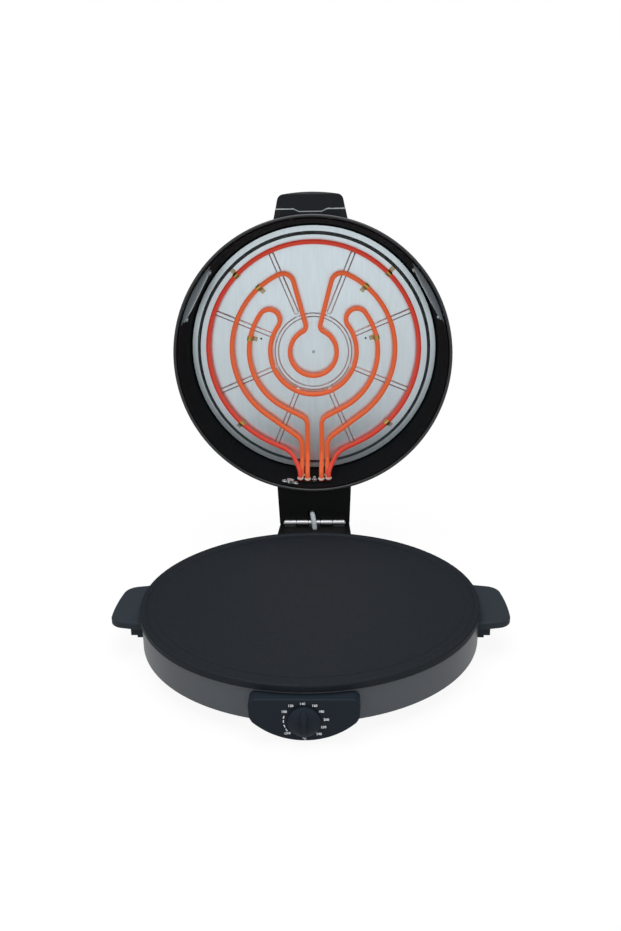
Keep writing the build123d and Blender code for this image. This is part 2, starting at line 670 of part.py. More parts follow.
with BuildPart() as rubber_feet:
    for spot in FOOT_SPOTS:
        with place(Plane((spot.X, PLATE_Y + spot.Y, 0))):
            Cone(FOOT_BOTTOM_R, FOOT_TOP_R, COVER_BOTTOM, align=LOW)
            Cylinder(FOOT_RECESS_R, FOOT_RECESS, align=LOW, mode=Mode.SUBTRACT)
            Cylinder(BIG_SCREW_R + FIT, COVER_BOTTOM, align=LOW, mode=Mode.SUBTRACT)
rubber_feet.part.label = "rubber_feet"
export_step(rubber_feet.part, "parts/rubber_feet.step")

with BuildPart() as foot_screws:
    for spot in FOOT_SPOTS:
        add_screw(
            Plane((spot.X, PLATE_Y + spot.Y, FOOT_RECESS), z_dir=(0, 0, -1)),
            9,
            BIG_SCREW_R,
            BIG_HEAD_R,
            BIG_HEAD_H,
        )
foot_screws.part.label = "foot_screws"
export_step(foot_screws.part, "parts/foot_screws.step")


# ------------------------------------------------------------------ side handles
def handle_plan(side):
    """Corners of a side handle in plan, from one tip corner round by the root to the other."""
    tip_x = side * (HANDLE_REACH - HANDLE_BOW)
    near = [
        (tip_x, HANDLE_Y - HANDLE_TIP),
        (side * HANDLE_ROOT_X, HANDLE_Y - HANDLE_ROOT),
        (side * 180, HANDLE_Y - HANDLE_ROOT - 1.0),
    ]
    return near + [(x, 2 * HANDLE_Y - y) for x, y in reversed(near)]


with BuildPart() as left_side_handle:
    with BuildSketch(Plane.XY.offset(HANDLE_TOP - HANDLE_T)) as left_plan:
        with BuildLine():
            corners = handle_plan(-1)
            Polyline(*corners)
            ThreePointArc(corners[-1], (-HANDLE_REACH, HANDLE_Y), corners[0])
        make_face()
        fillet(left_plan.vertices().group_by(Axis.X)[0], HANDLE_CORNER_R)
    extrude(amount=HANDLE_T)
    fillet(left_side_handle.edges().group_by(Axis.Z)[-1], 2.4)
    fillet(left_side_handle.edges().group_by(Axis.Z)[0], 1.2)
    with place(Plane((-(180 + BRACKET_REACH) / 2, HANDLE_Y, BRACKET_FOOT))):
        Box(BRACKET_REACH - 180, 2 * BRACKET_HALF, HANDLE_TOP - HANDLE_T / 2 - BRACKET_FOOT, align=LOW)
    with place(Plane((-(180 + TOE_REACH) / 2, HANDLE_Y, TOE_FOOT))):
        Box(TOE_REACH - 180, 2 * BRACKET_HALF - 6, BRACKET_FOOT + 1 - TOE_FOOT, align=LOW)
    with place(Plane((0, PLATE_Y, 0))):
        Cylinder(HOUSING_R + FIT, 120, align=LOW, mode=Mode.SUBTRACT)
    for turn in (-HANDLE_SCREW_AT, HANDLE_SCREW_AT):
        cut_hole(base_radial(HANDLE_SIDES[1] + turn, HOUSING_R, HANDLE_SCREW_Z), BIG_SCREW_R + FIT, 8.5)
left_side_handle.part.label = "left_side_handle"
export_step(left_side_handle.part, "parts/left_side_handle.step")

with BuildPart() as right_side_handle:
    with BuildSketch(Plane.XY.offset(HANDLE_TOP - HANDLE_T)) as right_plan:
        with BuildLine():
            corners = handle_plan(1)
            Polyline(*corners)
            ThreePointArc(corners[-1], (HANDLE_REACH, HANDLE_Y), corners[0])
        make_face()
        fillet(right_plan.vertices().group_by(Axis.X)[-1], HANDLE_CORNER_R)
    extrude(amount=HANDLE_T)
    fillet(right_side_handle.edges().group_by(Axis.Z)[-1], 2.4)
    fillet(right_side_handle.edges().group_by(Axis.Z)[0], 1.2)
    with place(Plane(((180 + BRACKET_REACH) / 2, HANDLE_Y, BRACKET_FOOT))):
        Box(BRACKET_REACH - 180, 2 * BRACKET_HALF, HANDLE_TOP - HANDLE_T / 2 - BRACKET_FOOT, align=LOW)
    with place(Plane(((180 + TOE_REACH) / 2, HANDLE_Y, TOE_FOOT))):
        Box(TOE_REACH - 180, 2 * BRACKET_HALF - 6, BRACKET_FOOT + 1 - TOE_FOOT, align=LOW)
    with place(Plane((0, PLATE_Y, 0))):
        Cylinder(HOUSING_R + FIT, 120, align=LOW, mode=Mode.SUBTRACT)
    for turn in (-HANDLE_SCREW_AT, HANDLE_SCREW_AT):
        cut_hole(base_radial(HANDLE_SIDES[0] + turn, HOUSING_R, HANDLE_SCREW_Z), BIG_SCREW_R + FIT, 8.5)
right_side_handle.part.label = "right_side_handle"
export_step(right_side_handle.part, "parts/right_side_handle.step")

with BuildPart() as side_handle_screws:
    for side in HANDLE_SIDES:
        for turn in (-HANDLE_SCREW_AT, HANDLE_SCREW_AT):
            spot = base_radial(side + turn, HOUSING_R - SHEET - 0.1, HANDLE_SCREW_Z)
            add_screw(spot, 8.5, BIG_SCREW_R, BIG_HEAD_R, BIG_HEAD_H)
side_handle_screws.part.label = "side_handle_screws"
export_step(side_handle_screws.part, "parts/side_handle_screws.step")

# ------------------------------------------------------------------ control panel
with BuildPart() as control_panel:
    with BuildSketch(Plane((0, PANEL_Y, 0), x_dir=(1, 0, 0), z_dir=(0, -1, 0))) as panel_outline:
        with BuildLine():
            Polyline(
                (-PANEL_ARC_HALF, PANEL_ARC_Z),
                (-PANEL_WAIST, PANEL_WAIST_Z),
                (-PANEL_HALF, PANEL_TOP),
                (PANEL_HALF, PANEL_TOP),
                (PANEL_WAIST, PANEL_WAIST_Z),
                (PANEL_ARC_HALF, PANEL_ARC_Z),
            )
            ThreePointArc((PANEL_ARC_HALF, PANEL_ARC_Z), (0, PANEL_FOOT), (-PANEL_ARC_HALF, PANEL_ARC_Z))
        make_face()
        fillet(panel_outline.vertices().group_by(Axis.Y)[-1], PANEL_CORNER_R)
    extrude(amount=-PANEL_DEPTH)
    fillet(control_panel.edges().group_by(Axis.Y)[0], PANEL_EDGE_R)
    with BuildSketch(Plane((0, PANEL_Y + PANEL_WALL, 0), x_dir=(1, 0, 0), z_dir=(0, -1, 0))):
        with BuildLine():
            Polyline(
                (-PANEL_ARC_HALF + PANEL_WALL, PANEL_ARC_Z + 0.5),
                (-PANEL_WAIST + PANEL_WALL, PANEL_WAIST_Z),
                (-PANEL_HALF + PANEL_WALL, PANEL_TOP - PANEL_CORNER_R),
                (-PANEL_HALF + PANEL_CORNER_R, PANEL_TOP - PANEL_WALL),
                (PANEL_HALF - PANEL_CORNER_R, PANEL_TOP - PANEL_WALL),
                (PANEL_HALF - PANEL_WALL, PANEL_TOP - PANEL_CORNER_R),
                (PANEL_WAIST - PANEL_WALL, PANEL_WAIST_Z),
                (PANEL_ARC_HALF - PANEL_WALL, PANEL_ARC_Z + 0.5),
            )
            ThreePointArc(
                (PANEL_ARC_HALF - PANEL_WALL, PANEL_ARC_Z + 0.5),
                (0, PANEL_FOOT + PANEL_WALL),
                (-PANEL_ARC_HALF + PANEL_WALL, PANEL_ARC_Z + 0.5),
            )
        make_face()
    extrude(amount=-PANEL_DEPTH, mode=Mode.SUBTRACT)
    for turn in (-PANEL_SCREW_AT, PANEL_SCREW_AT):
        with place(base_radial(270 + turn, HOUSING_R, PANEL_SCREW_Z)):
            Cylinder(4.5, 12.5, align=HIGH)
    with place(Plane((0, PANEL_Y, KNOB_Z), z_dir=(0, -1, 0))):
        Cylinder(SHAFT_R + 1.5, 10, mode=Mode.SUBTRACT)
    with place(Plane((0, PLATE_Y, 0))):
        Cylinder(HOUSING_R + FIT, 120, align=LOW, mode=Mode.SUBTRACT)
    for turn in (-PANEL_SCREW_AT, PANEL_SCREW_AT):
        cut_hole(base_radial(270 + turn, HOUSING_R, PANEL_SCREW_Z), SCREW_R + FIT, 9)
control_panel.part.label = "control_panel"
export_step(control_panel.part, "parts/control_panel.step")

with BuildPart() as control_panel_screws:
    for turn in (-PANEL_SCREW_AT, PANEL_SCREW_AT):
        add_screw(base_radial(270 + turn, HOUSING_R - SHEET - 0.1, PANEL_SCREW_Z), 8.5)
control_panel_screws.part.label = "control_panel_screws"
export_step(control_panel_screws.part, "parts/control_panel_screws.step")

# ------------------------------------------------------------------ thermostat
BODY_FRONT_Y = PLATE_Y - THERMOSTAT_FRONT + THERMOSTAT_PLATE_T
with BuildPart() as thermostat_body:
    with place(Plane((0, BODY_FRONT_Y + THERMOSTAT_D / 2, THERMOSTAT_Z[0]))):
        Box(THERMOSTAT_W, THERMOSTAT_D, THERMOSTAT_Z[1] - THERMOSTAT_Z[0], align=LOW)
    fillet(thermostat_body.edges().filter_by(Axis.Y), 2.0)
    with place(Plane((0, BODY_FRONT_Y - THERMOSTAT_PLATE_T / 2, KNOB_Z + 1))):
        Box(2 * THERMOSTAT_SCREW_X + 7, THERMOSTAT_PLATE_T, 18)
    with place(Plane((0, BODY_FRONT_Y, KNOB_Z), z_dir=(0, -1, 0))):
        Cylinder(SHAFT_R + RUNNING, 14, mode=Mode.SUBTRACT)
    for x in (-THERMOSTAT_SCREW_X, THERMOSTAT_SCREW_X):
        with place(Plane((x, BODY_FRONT_Y, KNOB_Z + 7), z_dir=(0, -1, 0))):
            Cylinder(SCREW_R + FIT, 8, mode=Mode.SUBTRACT)
thermostat_body.part.label = "thermostat_body"
export_step(thermostat_body.part, "parts/thermostat_body.step")

with BuildPart() as thermostat_screws:
    for x in (-THERMOSTAT_SCREW_X, THERMOSTAT_SCREW_X):
        seat = sqrt(HOUSING_R**2 - (abs(x) - SCREW_HEAD_R) ** 2) + 0.1
        add_screw(Plane((x, PLATE_Y - seat, KNOB_Z + 7), z_dir=(0, -1, 0)), seat - THERMOSTAT_FRONT + 3)
thermostat_screws.part.label = "thermostat_screws"
export_step(thermostat_screws.part, "parts/thermostat_screws.step")

with BuildPart() as thermostat_sensor:
    bulb_z = PLATE_BOTTOM - BULB_R - FIT
    with place(Plane((0, PLATE_Y - 60, bulb_z), z_dir=(1, 0, 0))):
        Cylinder(BULB_R, BULB_LONG)
    with BuildLine() as capillary_path:
        FilletPolyline(
            (BULB_LONG / 2, PLATE_Y - 60, bulb_z),
            (36, PLATE_Y - 60, bulb_z),
            (36, PLATE_Y - 60, 40),
            (36, PLATE_Y - 150, 40),
            (8, PLATE_Y - 150, 40),
            (8, BODY_FRONT_Y + THERMOSTAT_D, 40),
            radius=4,
        )
    capillary = capillary_path.wires()[0]
    with BuildSketch(Plane(capillary @ 0, z_dir=capillary % 0)):
        Circle(CAPILLARY_R)
    sweep(path=capillary)
thermostat_sensor.part.label = "thermostat_sensor"
export_step(thermostat_sensor.part, "parts/thermostat_sensor.step")

# ------------------------------------------------------------------ knob and its shaft
with BuildPart() as thermostat_shaft:
    with place(Plane((0, BODY_FRONT_Y + 6, KNOB_Z), z_dir=(0, -1, 0))):
        Cylinder(SHAFT_R, BODY_FRONT_Y + 6 - (PANEL_Y - 8), align=LOW)
    with place(Plane((0, PANEL_Y - 4, KNOB_Z + SHAFT_R - SHAFT_FLAT + 2))):
        Box(8, 10, 4, mode=Mode.SUBTRACT)
thermostat_shaft.part.label = "thermostat_shaft"
export_step(thermostat_shaft.part, "parts/thermostat_shaft.step")

KNOB_BACK_Y = PANEL_Y - GAP
KNOB_AXIS = Axis((0, 0, KNOB_Z), (0, 1, 0))


def dome_middle(edge, crown):
    """Point halfway out on a dome's arc, from the knob's axis and ahead of its back."""
    ball = (KNOB_R**2 + (crown - edge) ** 2) / (2 * (crown - edge))
    return (KNOB_R / 2, KNOB_BACK_Y - crown + ball - sqrt(ball**2 - (KNOB_R / 2) ** 2))


with BuildPart() as knob:
    with BuildSketch(Plane((0, KNOB_BACK_Y, KNOB_Z), x_dir=(1, 0, 0), z_dir=(0, -1, 0))):
        SlotOverall(KNOB_GRIP_LONG, KNOB_GRIP_WIDE, rotation=90)
    extrude(amount=KNOB_HEIGHT + 2, taper=7)
    for edge, crown, mode in (
        (KNOB_GRIP_EDGE, KNOB_HEIGHT, Mode.INTERSECT),
        (KNOB_SKIRT, KNOB_DOME, Mode.ADD),
    ):
        with BuildSketch(Plane((0, 0, KNOB_Z), x_dir=(1, 0, 0), z_dir=(0, 0, 1))):
            with BuildLine():
                Polyline(
                    (0, KNOB_BACK_Y - crown),
                    (0, KNOB_BACK_Y),
                    (KNOB_R, KNOB_BACK_Y),
                    (KNOB_R, KNOB_BACK_Y - edge),
                )
                ThreePointArc(
                    (KNOB_R, KNOB_BACK_Y - edge),
                    dome_middle(edge, crown),
                    (0, KNOB_BACK_Y - crown),
                )
            make_face()
        revolve(axis=KNOB_AXIS, mode=mode)
    with BuildSketch(Plane((0, KNOB_BACK_Y, KNOB_Z), x_dir=(1, 0, 0), z_dir=(0, -1, 0))):
        Circle(SHAFT_R + RUNNING)
        with Locations((0, SHAFT_R - SHAFT_FLAT + RUNNING + 4)):
            Rectangle(8, 8, mode=Mode.SUBTRACT)
    extrude(amount=8.2 - GAP, mode=Mode.SUBTRACT)
knob.part.label = "knob"
export_step(knob.part, "parts/knob.step")

# ------------------------------------------------------------------ hinge housing
DECK_BOTTOM = HINGE_BOX_DECK - HINGE_BOX_WALL
with BuildPart() as hinge_housing:
    with BuildSketch(Plane.XY.offset(COVER_TOP)):
        with BuildLine():
            Polyline(*box_plan(0, HINGE_BOX_START, HINGE_BOX_BACK), close=True)
        make_face()
    extrude(amount=HINGE_BOX_DECK - COVER_TOP)
    fillet(hinge_housing.edges().filter_by(Axis.Z).group_by(Axis.Y)[-1], HINGE_BOX_EDGE_R + 2)
    fillet(hinge_housing.edges().group_by(Axis.Z)[-1].group_by(Axis.Y)[1:], HINGE_BOX_EDGE_R - 1)
    with BuildSketch(Plane.XY.offset(COVER_TOP)):
        with BuildLine():
            inner_ends = (HINGE_BOX_START - 5, HINGE_BOX_BACK - HINGE_BOX_WALL)
            Polyline(*box_plan(HINGE_BOX_WALL, *inner_ends), close=True)
        make_face()
    extrude(amount=DECK_BOTTOM - COVER_TOP, mode=Mode.SUBTRACT)
    for side in (-1, 1):
        # blocks for the screws into the housing, the cover and the feet
        with place(Plane((side * 46.5, PLATE_Y + 199, PANEL_SCREW_Z))):
            Box(12, 14, 12)
        with place(Plane((side * 47, PLATE_Y + 216, COVER_TOP))):
            Box(12, 8, 10, align=LOW)
    with place(Plane((0, PLATE_Y, 0))):
        Cylinder(HOUSING_R + FIT, 120, align=LOW, mode=Mode.SUBTRACT)
    with place(Plane((0, PLATE_Y, RIM_BOTTOM - 2 * TOP_BEAD_R - 0.4))):
        Cylinder(PLATE_R + GAP, 20, align=LOW, mode=Mode.SUBTRACT)
    for side in (-1, 1):
        screw_spot = base_radial(90 + side * PANEL_SCREW_AT * 1.13, HOUSING_R, PANEL_SCREW_Z)
        cut_hole(screw_spot, BIG_SCREW_R + FIT, 9)
        cut_hole(Plane((side * 44, PLATE_Y + 216, COVER_TOP)), SCREW_R + FIT, 9)
    # slots for the base knuckles, hole for the sleeved lead, hole for the cord gland
    for index in range(0, KNUCKLES, 2):
        middle = -BARREL_HALF + KNUCKLE_LONG / 2 + index * (KNUCKLE_LONG + KNUCKLE_GAP)
        with place(Plane((middle, PIN_Y, HINGE_BOX_DECK))):
            Box(KNUCKLE_LONG + 0.6, 4.2, 8, mode=Mode.SUBTRACT)
    with place(Plane((LEAD_LOW_X, LEAD_LOW_Y, HINGE_BOX_DECK))):
        Cylinder(LEAD_R + 0.4, 8, mode=Mode.SUBTRACT)
    with place(Plane((GLAND_X, PLATE_Y + HINGE_BOX_BACK, GLAND_Z), z_dir=(0, 1, 0))):
        Cylinder(GLAND_R - 2 + FIT, 10, mode=Mode.SUBTRACT)
    for x in (-34, 34):
        cut_hole(Plane((x, PIN_Y + 20, DECK_BOTTOM)), SCREW_R + FIT, 1.5)
hinge_housing.part.label = "hinge_housing"
export_step(hinge_housing.part, "parts/hinge_housing.step")

with BuildPart() as hinge_housing_screws:
    for side in (-1, 1):
        spot = base_radial(90 + side * PANEL_SCREW_AT * 1.13, HOUSING_R - SHEET - 0.1, PANEL_SCREW_Z)
        add_screw(spot, 8, BIG_SCREW_R, BIG_HEAD_R, BIG_HEAD_H)
hinge_housing_screws.part.label = "hinge_housing_screws"
export_step(hinge_housing_screws.part, "parts/hinge_housing_screws.step")

# ------------------------------------------------------------------ base hinge leaf and pin
with BuildPart() as base_hinge_leaf:
    with place(Plane((0, PIN_Y - 5, DECK_BOTTOM))):
        Box(2 * LEAF_HALF, BASE_LEAF_RUN + 5, LEAF_T, align=(Align.CENTER, Align.MIN, Align.MAX))
    fillet(base_hinge_leaf.edges().filter_by(Axis.Z), 2.0)
    for index in range(0, KNUCKLES, 2):
        middle = -BARREL_HALF + KNUCKLE_LONG / 2 + index * (KNUCKLE_LONG + KNUCKLE_GAP)
        with place(Plane((middle, PIN_Y, DECK_BOTTOM - LEAF_T))):
            Box(KNUCKLE_LONG, 3.4, PIN_Z - DECK_BOTTOM + LEAF_T, align=LOW)
        with place(Plane((middle, PIN_Y, PIN_Z), z_dir=(1, 0, 0))):
            Cylinder(BARREL_R, KNUCKLE_LONG)
    with place(Plane((0, PIN_Y, PIN_Z), z_dir=(1, 0, 0))):
        Cylinder(PIN_R + RUNNING, 2 * BARREL_HALF, mode=Mode.SUBTRACT)
    for x in (-34, 34):
        cut_hole(Plane((x, PIN_Y + 20, DECK_BOTTOM)), SCREW_R + FIT, 4)
base_hinge_leaf.part.label = "base_hinge_leaf"
export_step(base_hinge_leaf.part, "parts/base_hinge_leaf.step")

with BuildPart() as base_leaf_screws:
    for x in (-34, 34):
        add_screw(Plane((x, PIN_Y + 20, DECK_BOTTOM - LEAF_T), z_dir=(0, 0, -1)), LEAF_T + 1.2)
base_leaf_screws.part.label = "base_leaf_screws"
export_step(base_leaf_screws.part, "parts/base_leaf_screws.step")

with BuildPart() as hinge_pin:
    with place(Plane((0, PIN_Y, PIN_Z), z_dir=(1, 0, 0))):
        Cylinder(PIN_R, 2 * BARREL_HALF + 0.4)
    for side in (-1, 1):
        with place(Plane((side * (BARREL_HALF + 0.2), PIN_Y, PIN_Z), z_dir=(side, 0, 0))):
            Cone(PIN_R + 1.2, PIN_R + 0.4, 1.2, align=LOW)
hinge_pin.part.label = "hinge_pin"
export_step(hinge_pin.part, "parts/hinge_pin.step")

# ------------------------------------------------------------------ cord gland
with BuildPart() as cord_gland:
    with place(Plane((GLAND_X, PLATE_Y + HINGE_BOX_BACK, GLAND_Z), z_dir=(0, 1, 0))):
        Cylinder(GLAND_R, 2.5, align=LOW)
        Cylinder(GLAND_R - 2, HINGE_BOX_WALL + 3, align=HIGH)
    with place(Plane((GLAND_X, PLATE_Y + HINGE_BOX_BACK + 2.5, GLAND_Z), z_dir=(0, 1, 0))):
        Cone(GLAND_R - 1.5, GLAND_R - 3, GLAND_LONG - 2.5, align=LOW)
    with place(Plane((GLAND_X, PLATE_Y + HINGE_BOX_BACK, GLAND_Z), z_dir=(0, 1, 0))):
        Cylinder(GLAND_HOLE_R, 60, mode=Mode.SUBTRACT)
cord_gland.part.label = "cord_gland"
export_step(cord_gland.part, "parts/cord_gland.step")

# ------------------------------------------------------------------ terminal block and leads
BLOCK_FRONT_Y = PLATE_Y + 258
with BuildPart() as terminal_block:
    with place(Plane((-5, BLOCK_FRONT_Y + 8, COVER_TOP))):
        Box(48, 16, 9, align=LOW)
    with place(Plane((-5, BLOCK_FRONT_Y + 8, COVER_TOP + 9))):
        Box(48, 9, 6, align=LOW)
    for x in (-26, -12, 2, 12):
        with place(Plane((x, BLOCK_FRONT_Y + 8, COVER_TOP + 15))):
            Cylinder(2.4, 10, mode=Mode.SUBTRACT)
terminal_block.part.label = "terminal_block"
export_step(terminal_block.part, "parts/terminal_block.step")

LEAD_PATHS = (
    ((-15.6, 151.1), (-15.6, 190), (-12, 257.6)),
    ((-1.4, 98.0), (12, 130), (12, 257.6)),
    ((-12, BODY_FRONT_Y + THERMOSTAT_D - PLATE_Y + 1), (-28, -150), (-28, 257.6)),
)
with BuildPart() as base_wiring:
    for lead in LEAD_PATHS:
        with BuildLine() as lead_path:
            FilletPolyline(*[(x, PLATE_Y + y, 21.2) for x, y in lead], radius=8)
        lead_wire = lead_path.wires()[0]
        with BuildSketch(Plane(lead_wire @ 0, z_dir=lead_wire % 0)):
            Circle(1.3)
        sweep(path=lead_wire)
base_wiring.part.label = "base_wiring"
export_step(base_wiring.part, "parts/base_wiring.step")

# ------------------------------------------------------------------ sleeved lead over the hinge
with BuildPart() as hinge_loom:
    with BuildLine() as loom_path:
        FilletPolyline(
            (LEAD_TOP_X, PIN_Y + 20, LEAD_TOP_Z),
            (LEAD_TOP_X + 0.6, PIN_Y + 2.2, LEAD_TOP_Z - 0.5),
            (LEAD_LOW_X, LEAD_LOW_Y, LEAD_TOP_Z - 10.5),
            (LEAD_LOW_X, LEAD_LOW_Y, HINGE_BOX_DECK - 14),
            radius=8,
        )
    loom_wire = loom_path.wires()[0]
    with BuildSketch(Plane(loom_wire @ 0, z_dir=loom_wire % 0)):
        Circle(LEAD_R)
    sweep(path=loom_wire)
hinge_loom.part.label = "hinge_loom"
export_step(hinge_loom.part, "parts/hinge_loom.step")

with BuildPart() as loom_clamp:
    with place(Plane((LEAD_LOW_X, LEAD_LOW_Y, DECK_BOTTOM - LEAD_CLAMP_W))):
        Cylinder(LEAD_R + 1.4, LEAD_CLAMP_W, align=LOW)
    with place(Plane((LEAD_LOW_X, LEAD_LOW_Y, DECK_BOTTOM))):
        Box(22, 9, 1.6, align=HIGH)
    with place(Plane((LEAD_LOW_X, LEAD_LOW_Y, DECK_BOTTOM))):
        Cylinder(LEAD_R + FIT, 60, mode=Mode.SUBTRACT)
loom_clamp.part.label = "loom_clamp"
export_step(loom_clamp.part, "parts/loom_clamp.step")

# ------------------------------------------------------------------ lid shell
WALL_IN = LID_WALL_R - LID_SHEET
SHOULDER_START = LID_SHOULDER - LID_SHOULDER_R
CROWN_MID = LID_DEPTH - CROWN_R + sqrt(CROWN_R**2 - (CROWN_SLOPE / 2) ** 2)
CROWN_MID_R = CROWN_FLAT_R + CROWN_SLOPE / 2
HALF_TURN = LID_SHOULDER_R * sin(radians(45))


def liner_r(deep):
    """Outer radius of the liner's cone at a depth behind the rim."""
    share = (deep - LINER_START) / (REFLECTOR_DEEP - LINER_START)
    return LINER_RIM_R + (LINER_BACK_R - LINER_RIM_R) * share


LEG_SPOTS = [(side * OUTER_LEG_X, FRONT_ROW_DEEP) for side in (-1, 1)]
LEG_SPOTS += [(side * INNER_LEG_X, FRONT_ROW_DEEP) for side in (-1, 1)]
LEG_SPOTS += [(side * MIDDLE_KNEE[0], BACK_ROW_DEEP) for side in (-1, 1)]
WINDOW_ANGLES = (WINDOW_AT, 180 - WINDOW_AT)
ARM_SCREW_AT = 13.0  # degrees each side of straight down
GRIP_SCREW_ANGLES = (90 - 8, 90 + 8)

with BuildPart() as lid_shell:
    with BuildSketch(LID_PROFILE):
        with BuildLine():
            Line((RIM_BEAD / 2, LID_WALL_R), (SHOULDER_START, LID_WALL_R))
            ThreePointArc(
                (SHOULDER_START, LID_WALL_R),
                (SHOULDER_START + HALF_TURN, CROWN_EDGE + HALF_TURN),
                (LID_SHOULDER, CROWN_EDGE),
            )
            ThreePointArc(
                (LID_SHOULDER, CROWN_EDGE), (CROWN_MID, CROWN_MID_R), (LID_DEPTH, CROWN_FLAT_R)
            )
            Line((LID_DEPTH, CROWN_FLAT_R), (LID_DEPTH, 0))
            Line((LID_DEPTH, 0), (LID_DEPTH - LID_SHEET, 0))
            Line((LID_DEPTH - LID_SHEET, 0), (LID_DEPTH - LID_SHEET, CROWN_FLAT_R))
            ThreePointArc(
                (LID_DEPTH - LID_SHEET, CROWN_FLAT_R),
                (CROWN_MID - LID_SHEET, CROWN_MID_R),
                (LID_SHOULDER - LID_SHEET, CROWN_EDGE),
            )
            ThreePointArc(
                (LID_SHOULDER - LID_SHEET, CROWN_EDGE),
                (
                    SHOULDER_START + HALF_TURN * (1 - LID_SHEET / LID_SHOULDER_R),
                    CROWN_EDGE + HALF_TURN * (1 - LID_SHEET / LID_SHOULDER_R),
                ),
                (SHOULDER_START, WALL_IN),
            )
            Line((SHOULDER_START, WALL_IN), (RIM_BEAD / 2, WALL_IN))
            Line((RIM_BEAD / 2, WALL_IN), (RIM_BEAD / 2, LID_WALL_R))
        make_face()
        with Locations((RIM_BEAD / 2, LID_R - RIM_BEAD / 2)):
            Circle(RIM_BEAD / 2)
    revolve(axis=LID_AXIS)
    for angle in VENT_AT:
        for deep in VENT_ROWS_DEEP:
            for index in range(VENTS_PER_ROW):
                turn = angle + VENT_STEP * (index - (VENTS_PER_ROW - 1) / 2)
                cut_hole(lid_radial(turn, LID_WALL_R, deep), VENT_R, 3)
    for angle in WINDOW_ANGLES:
        with place(lid_radial(angle, LID_WALL_R, WINDOW_DEEP)):
            Box(TONGUE_WIDE + 2 * FIT, TONGUE_LONG + 2 * FIT, 12, mode=Mode.SUBTRACT)
    for x, deep in LEG_SPOTS:
        cut_hole(Plane((x, LID_Y + deep, LID_Z - LID_WALL_R)), BEAD_R + 0.4, 6)
    for angle in GRIP_SCREW_ANGLES:
        cut_hole(lid_radial(angle, LID_WALL_R, GRIP_SCREW_DEEP), BIG_SCREW_R + FIT, 3)
    for side in (-1, 1):
        cut_hole(lid_radial(270 + side * ARM_SCREW_AT, LID_WALL_R, GRIP_SCREW_DEEP), SCREW_R + FIT, 3)
lid_shell.part.label = "lid_shell"
export_step(lid_shell.part, "parts/lid_shell.step")

# ------------------------------------------------------------------ lid liner
LEDGE_DEEP = REFLECTOR_DEEP + STEP_DEEP + REFLECTOR_T + FIT / 2
with BuildPart() as lid_liner:
    with BuildSketch(LID_PROFILE):
        with BuildLine():
            Polyline(
                (LINER_START, liner_r(LINER_START)),
                (LEDGE_DEEP + LINER_SHEET, liner_r(LEDGE_DEEP + LINER_SHEET)),
                (LEDGE_DEEP + LINER_SHEET, LEDGE_R),
                (LEDGE_DEEP, LEDGE_R),
                (LEDGE_DEEP, liner_r(LEDGE_DEEP) - LINER_SHEET),
                (LINER_START, liner_r(LINER_START) - LINER_SHEET),
                close=True,
            )
        make_face()
    revolve(axis=LID_AXIS)
    for angle in VENT_AT:
        for deep in VENT_ROWS_DEEP:
            for index in range(VENTS_PER_ROW):
                turn = angle + VENT_STEP * (index - (VENTS_PER_ROW - 1) / 2)
                cut_hole(lid_radial(turn, liner_r(deep), deep), VENT_R, 3)
    for angle in WINDOW_ANGLES:
        with place(lid_radial(angle, liner_r(WINDOW_DEEP), WINDOW_DEEP)):
            Box(TONGUE_WIDE + 2 * FIT, TONGUE_LONG + 2 * FIT, 12, mode=Mode.SUBTRACT)
        for side in (-1, 1):
            window = lid_radial(angle, PANE_OUT, WINDOW_DEEP)
            spot = window.origin + window.y_dir * (side * PANE_SCREW_AT)
            cut_hole(Plane(spot, x_dir=window.x_dir, z_dir=window.z_dir), SCREW_R + FIT, 8)
    for x, deep in LEG_SPOTS:
        cut_hole(Plane((x, LID_Y + deep, LID_Z - liner_r(deep))), TUBE_R + 0.5, 6)
    cut_hole(Plane((0, LID_Y + BOLT_DEEP, LID_Z - liner_r(BOLT_DEEP))), BIG_SCREW_R + FIT, 4)
    for side in (-1, 1):
        spot = lid_radial(CUTOUT_AT, liner_r(CUTOUT_DEEP), CUTOUT_DEEP)
        hole = Plane(
            spot.origin + spot.y_dir * (side * CUTOUT_SCREW_X), x_dir=spot.x_dir, z_dir=spot.z_dir
        )
        cut_hole(hole, SCREW_R + FIT, 4)
lid_liner.part.label = "lid_liner"
export_step(lid_liner.part, "parts/lid_liner.step")

# ------------------------------------------------------------------ reflector
CLIP_TABLE = [(OUTER_R, OUTER_UP, angle, 1) for angle in OUTER_CLIPS_AT]
CLIP_TABLE += [(MIDDLE_R, MIDDLE_UP, angle, -1) for angle in MIDDLE_CLIPS_AT]
CLIP_TABLE += [(INNER_R, INNER_UP, angle, -1) for angle in INNER_CLIPS_AT]


def clip_screw_plane(ring, up, angle, side, deep):
    """Plane at a clip's screw, at a depth behind the rim, facing the rim."""
    spot = on_circle(ring + side * CLIP_SCREW_OUT, angle, up)
    return Plane((spot.X, LID_Y + deep, spot.Z), x_dir=(1, 0, 0), z_dir=(0, -1, 0))


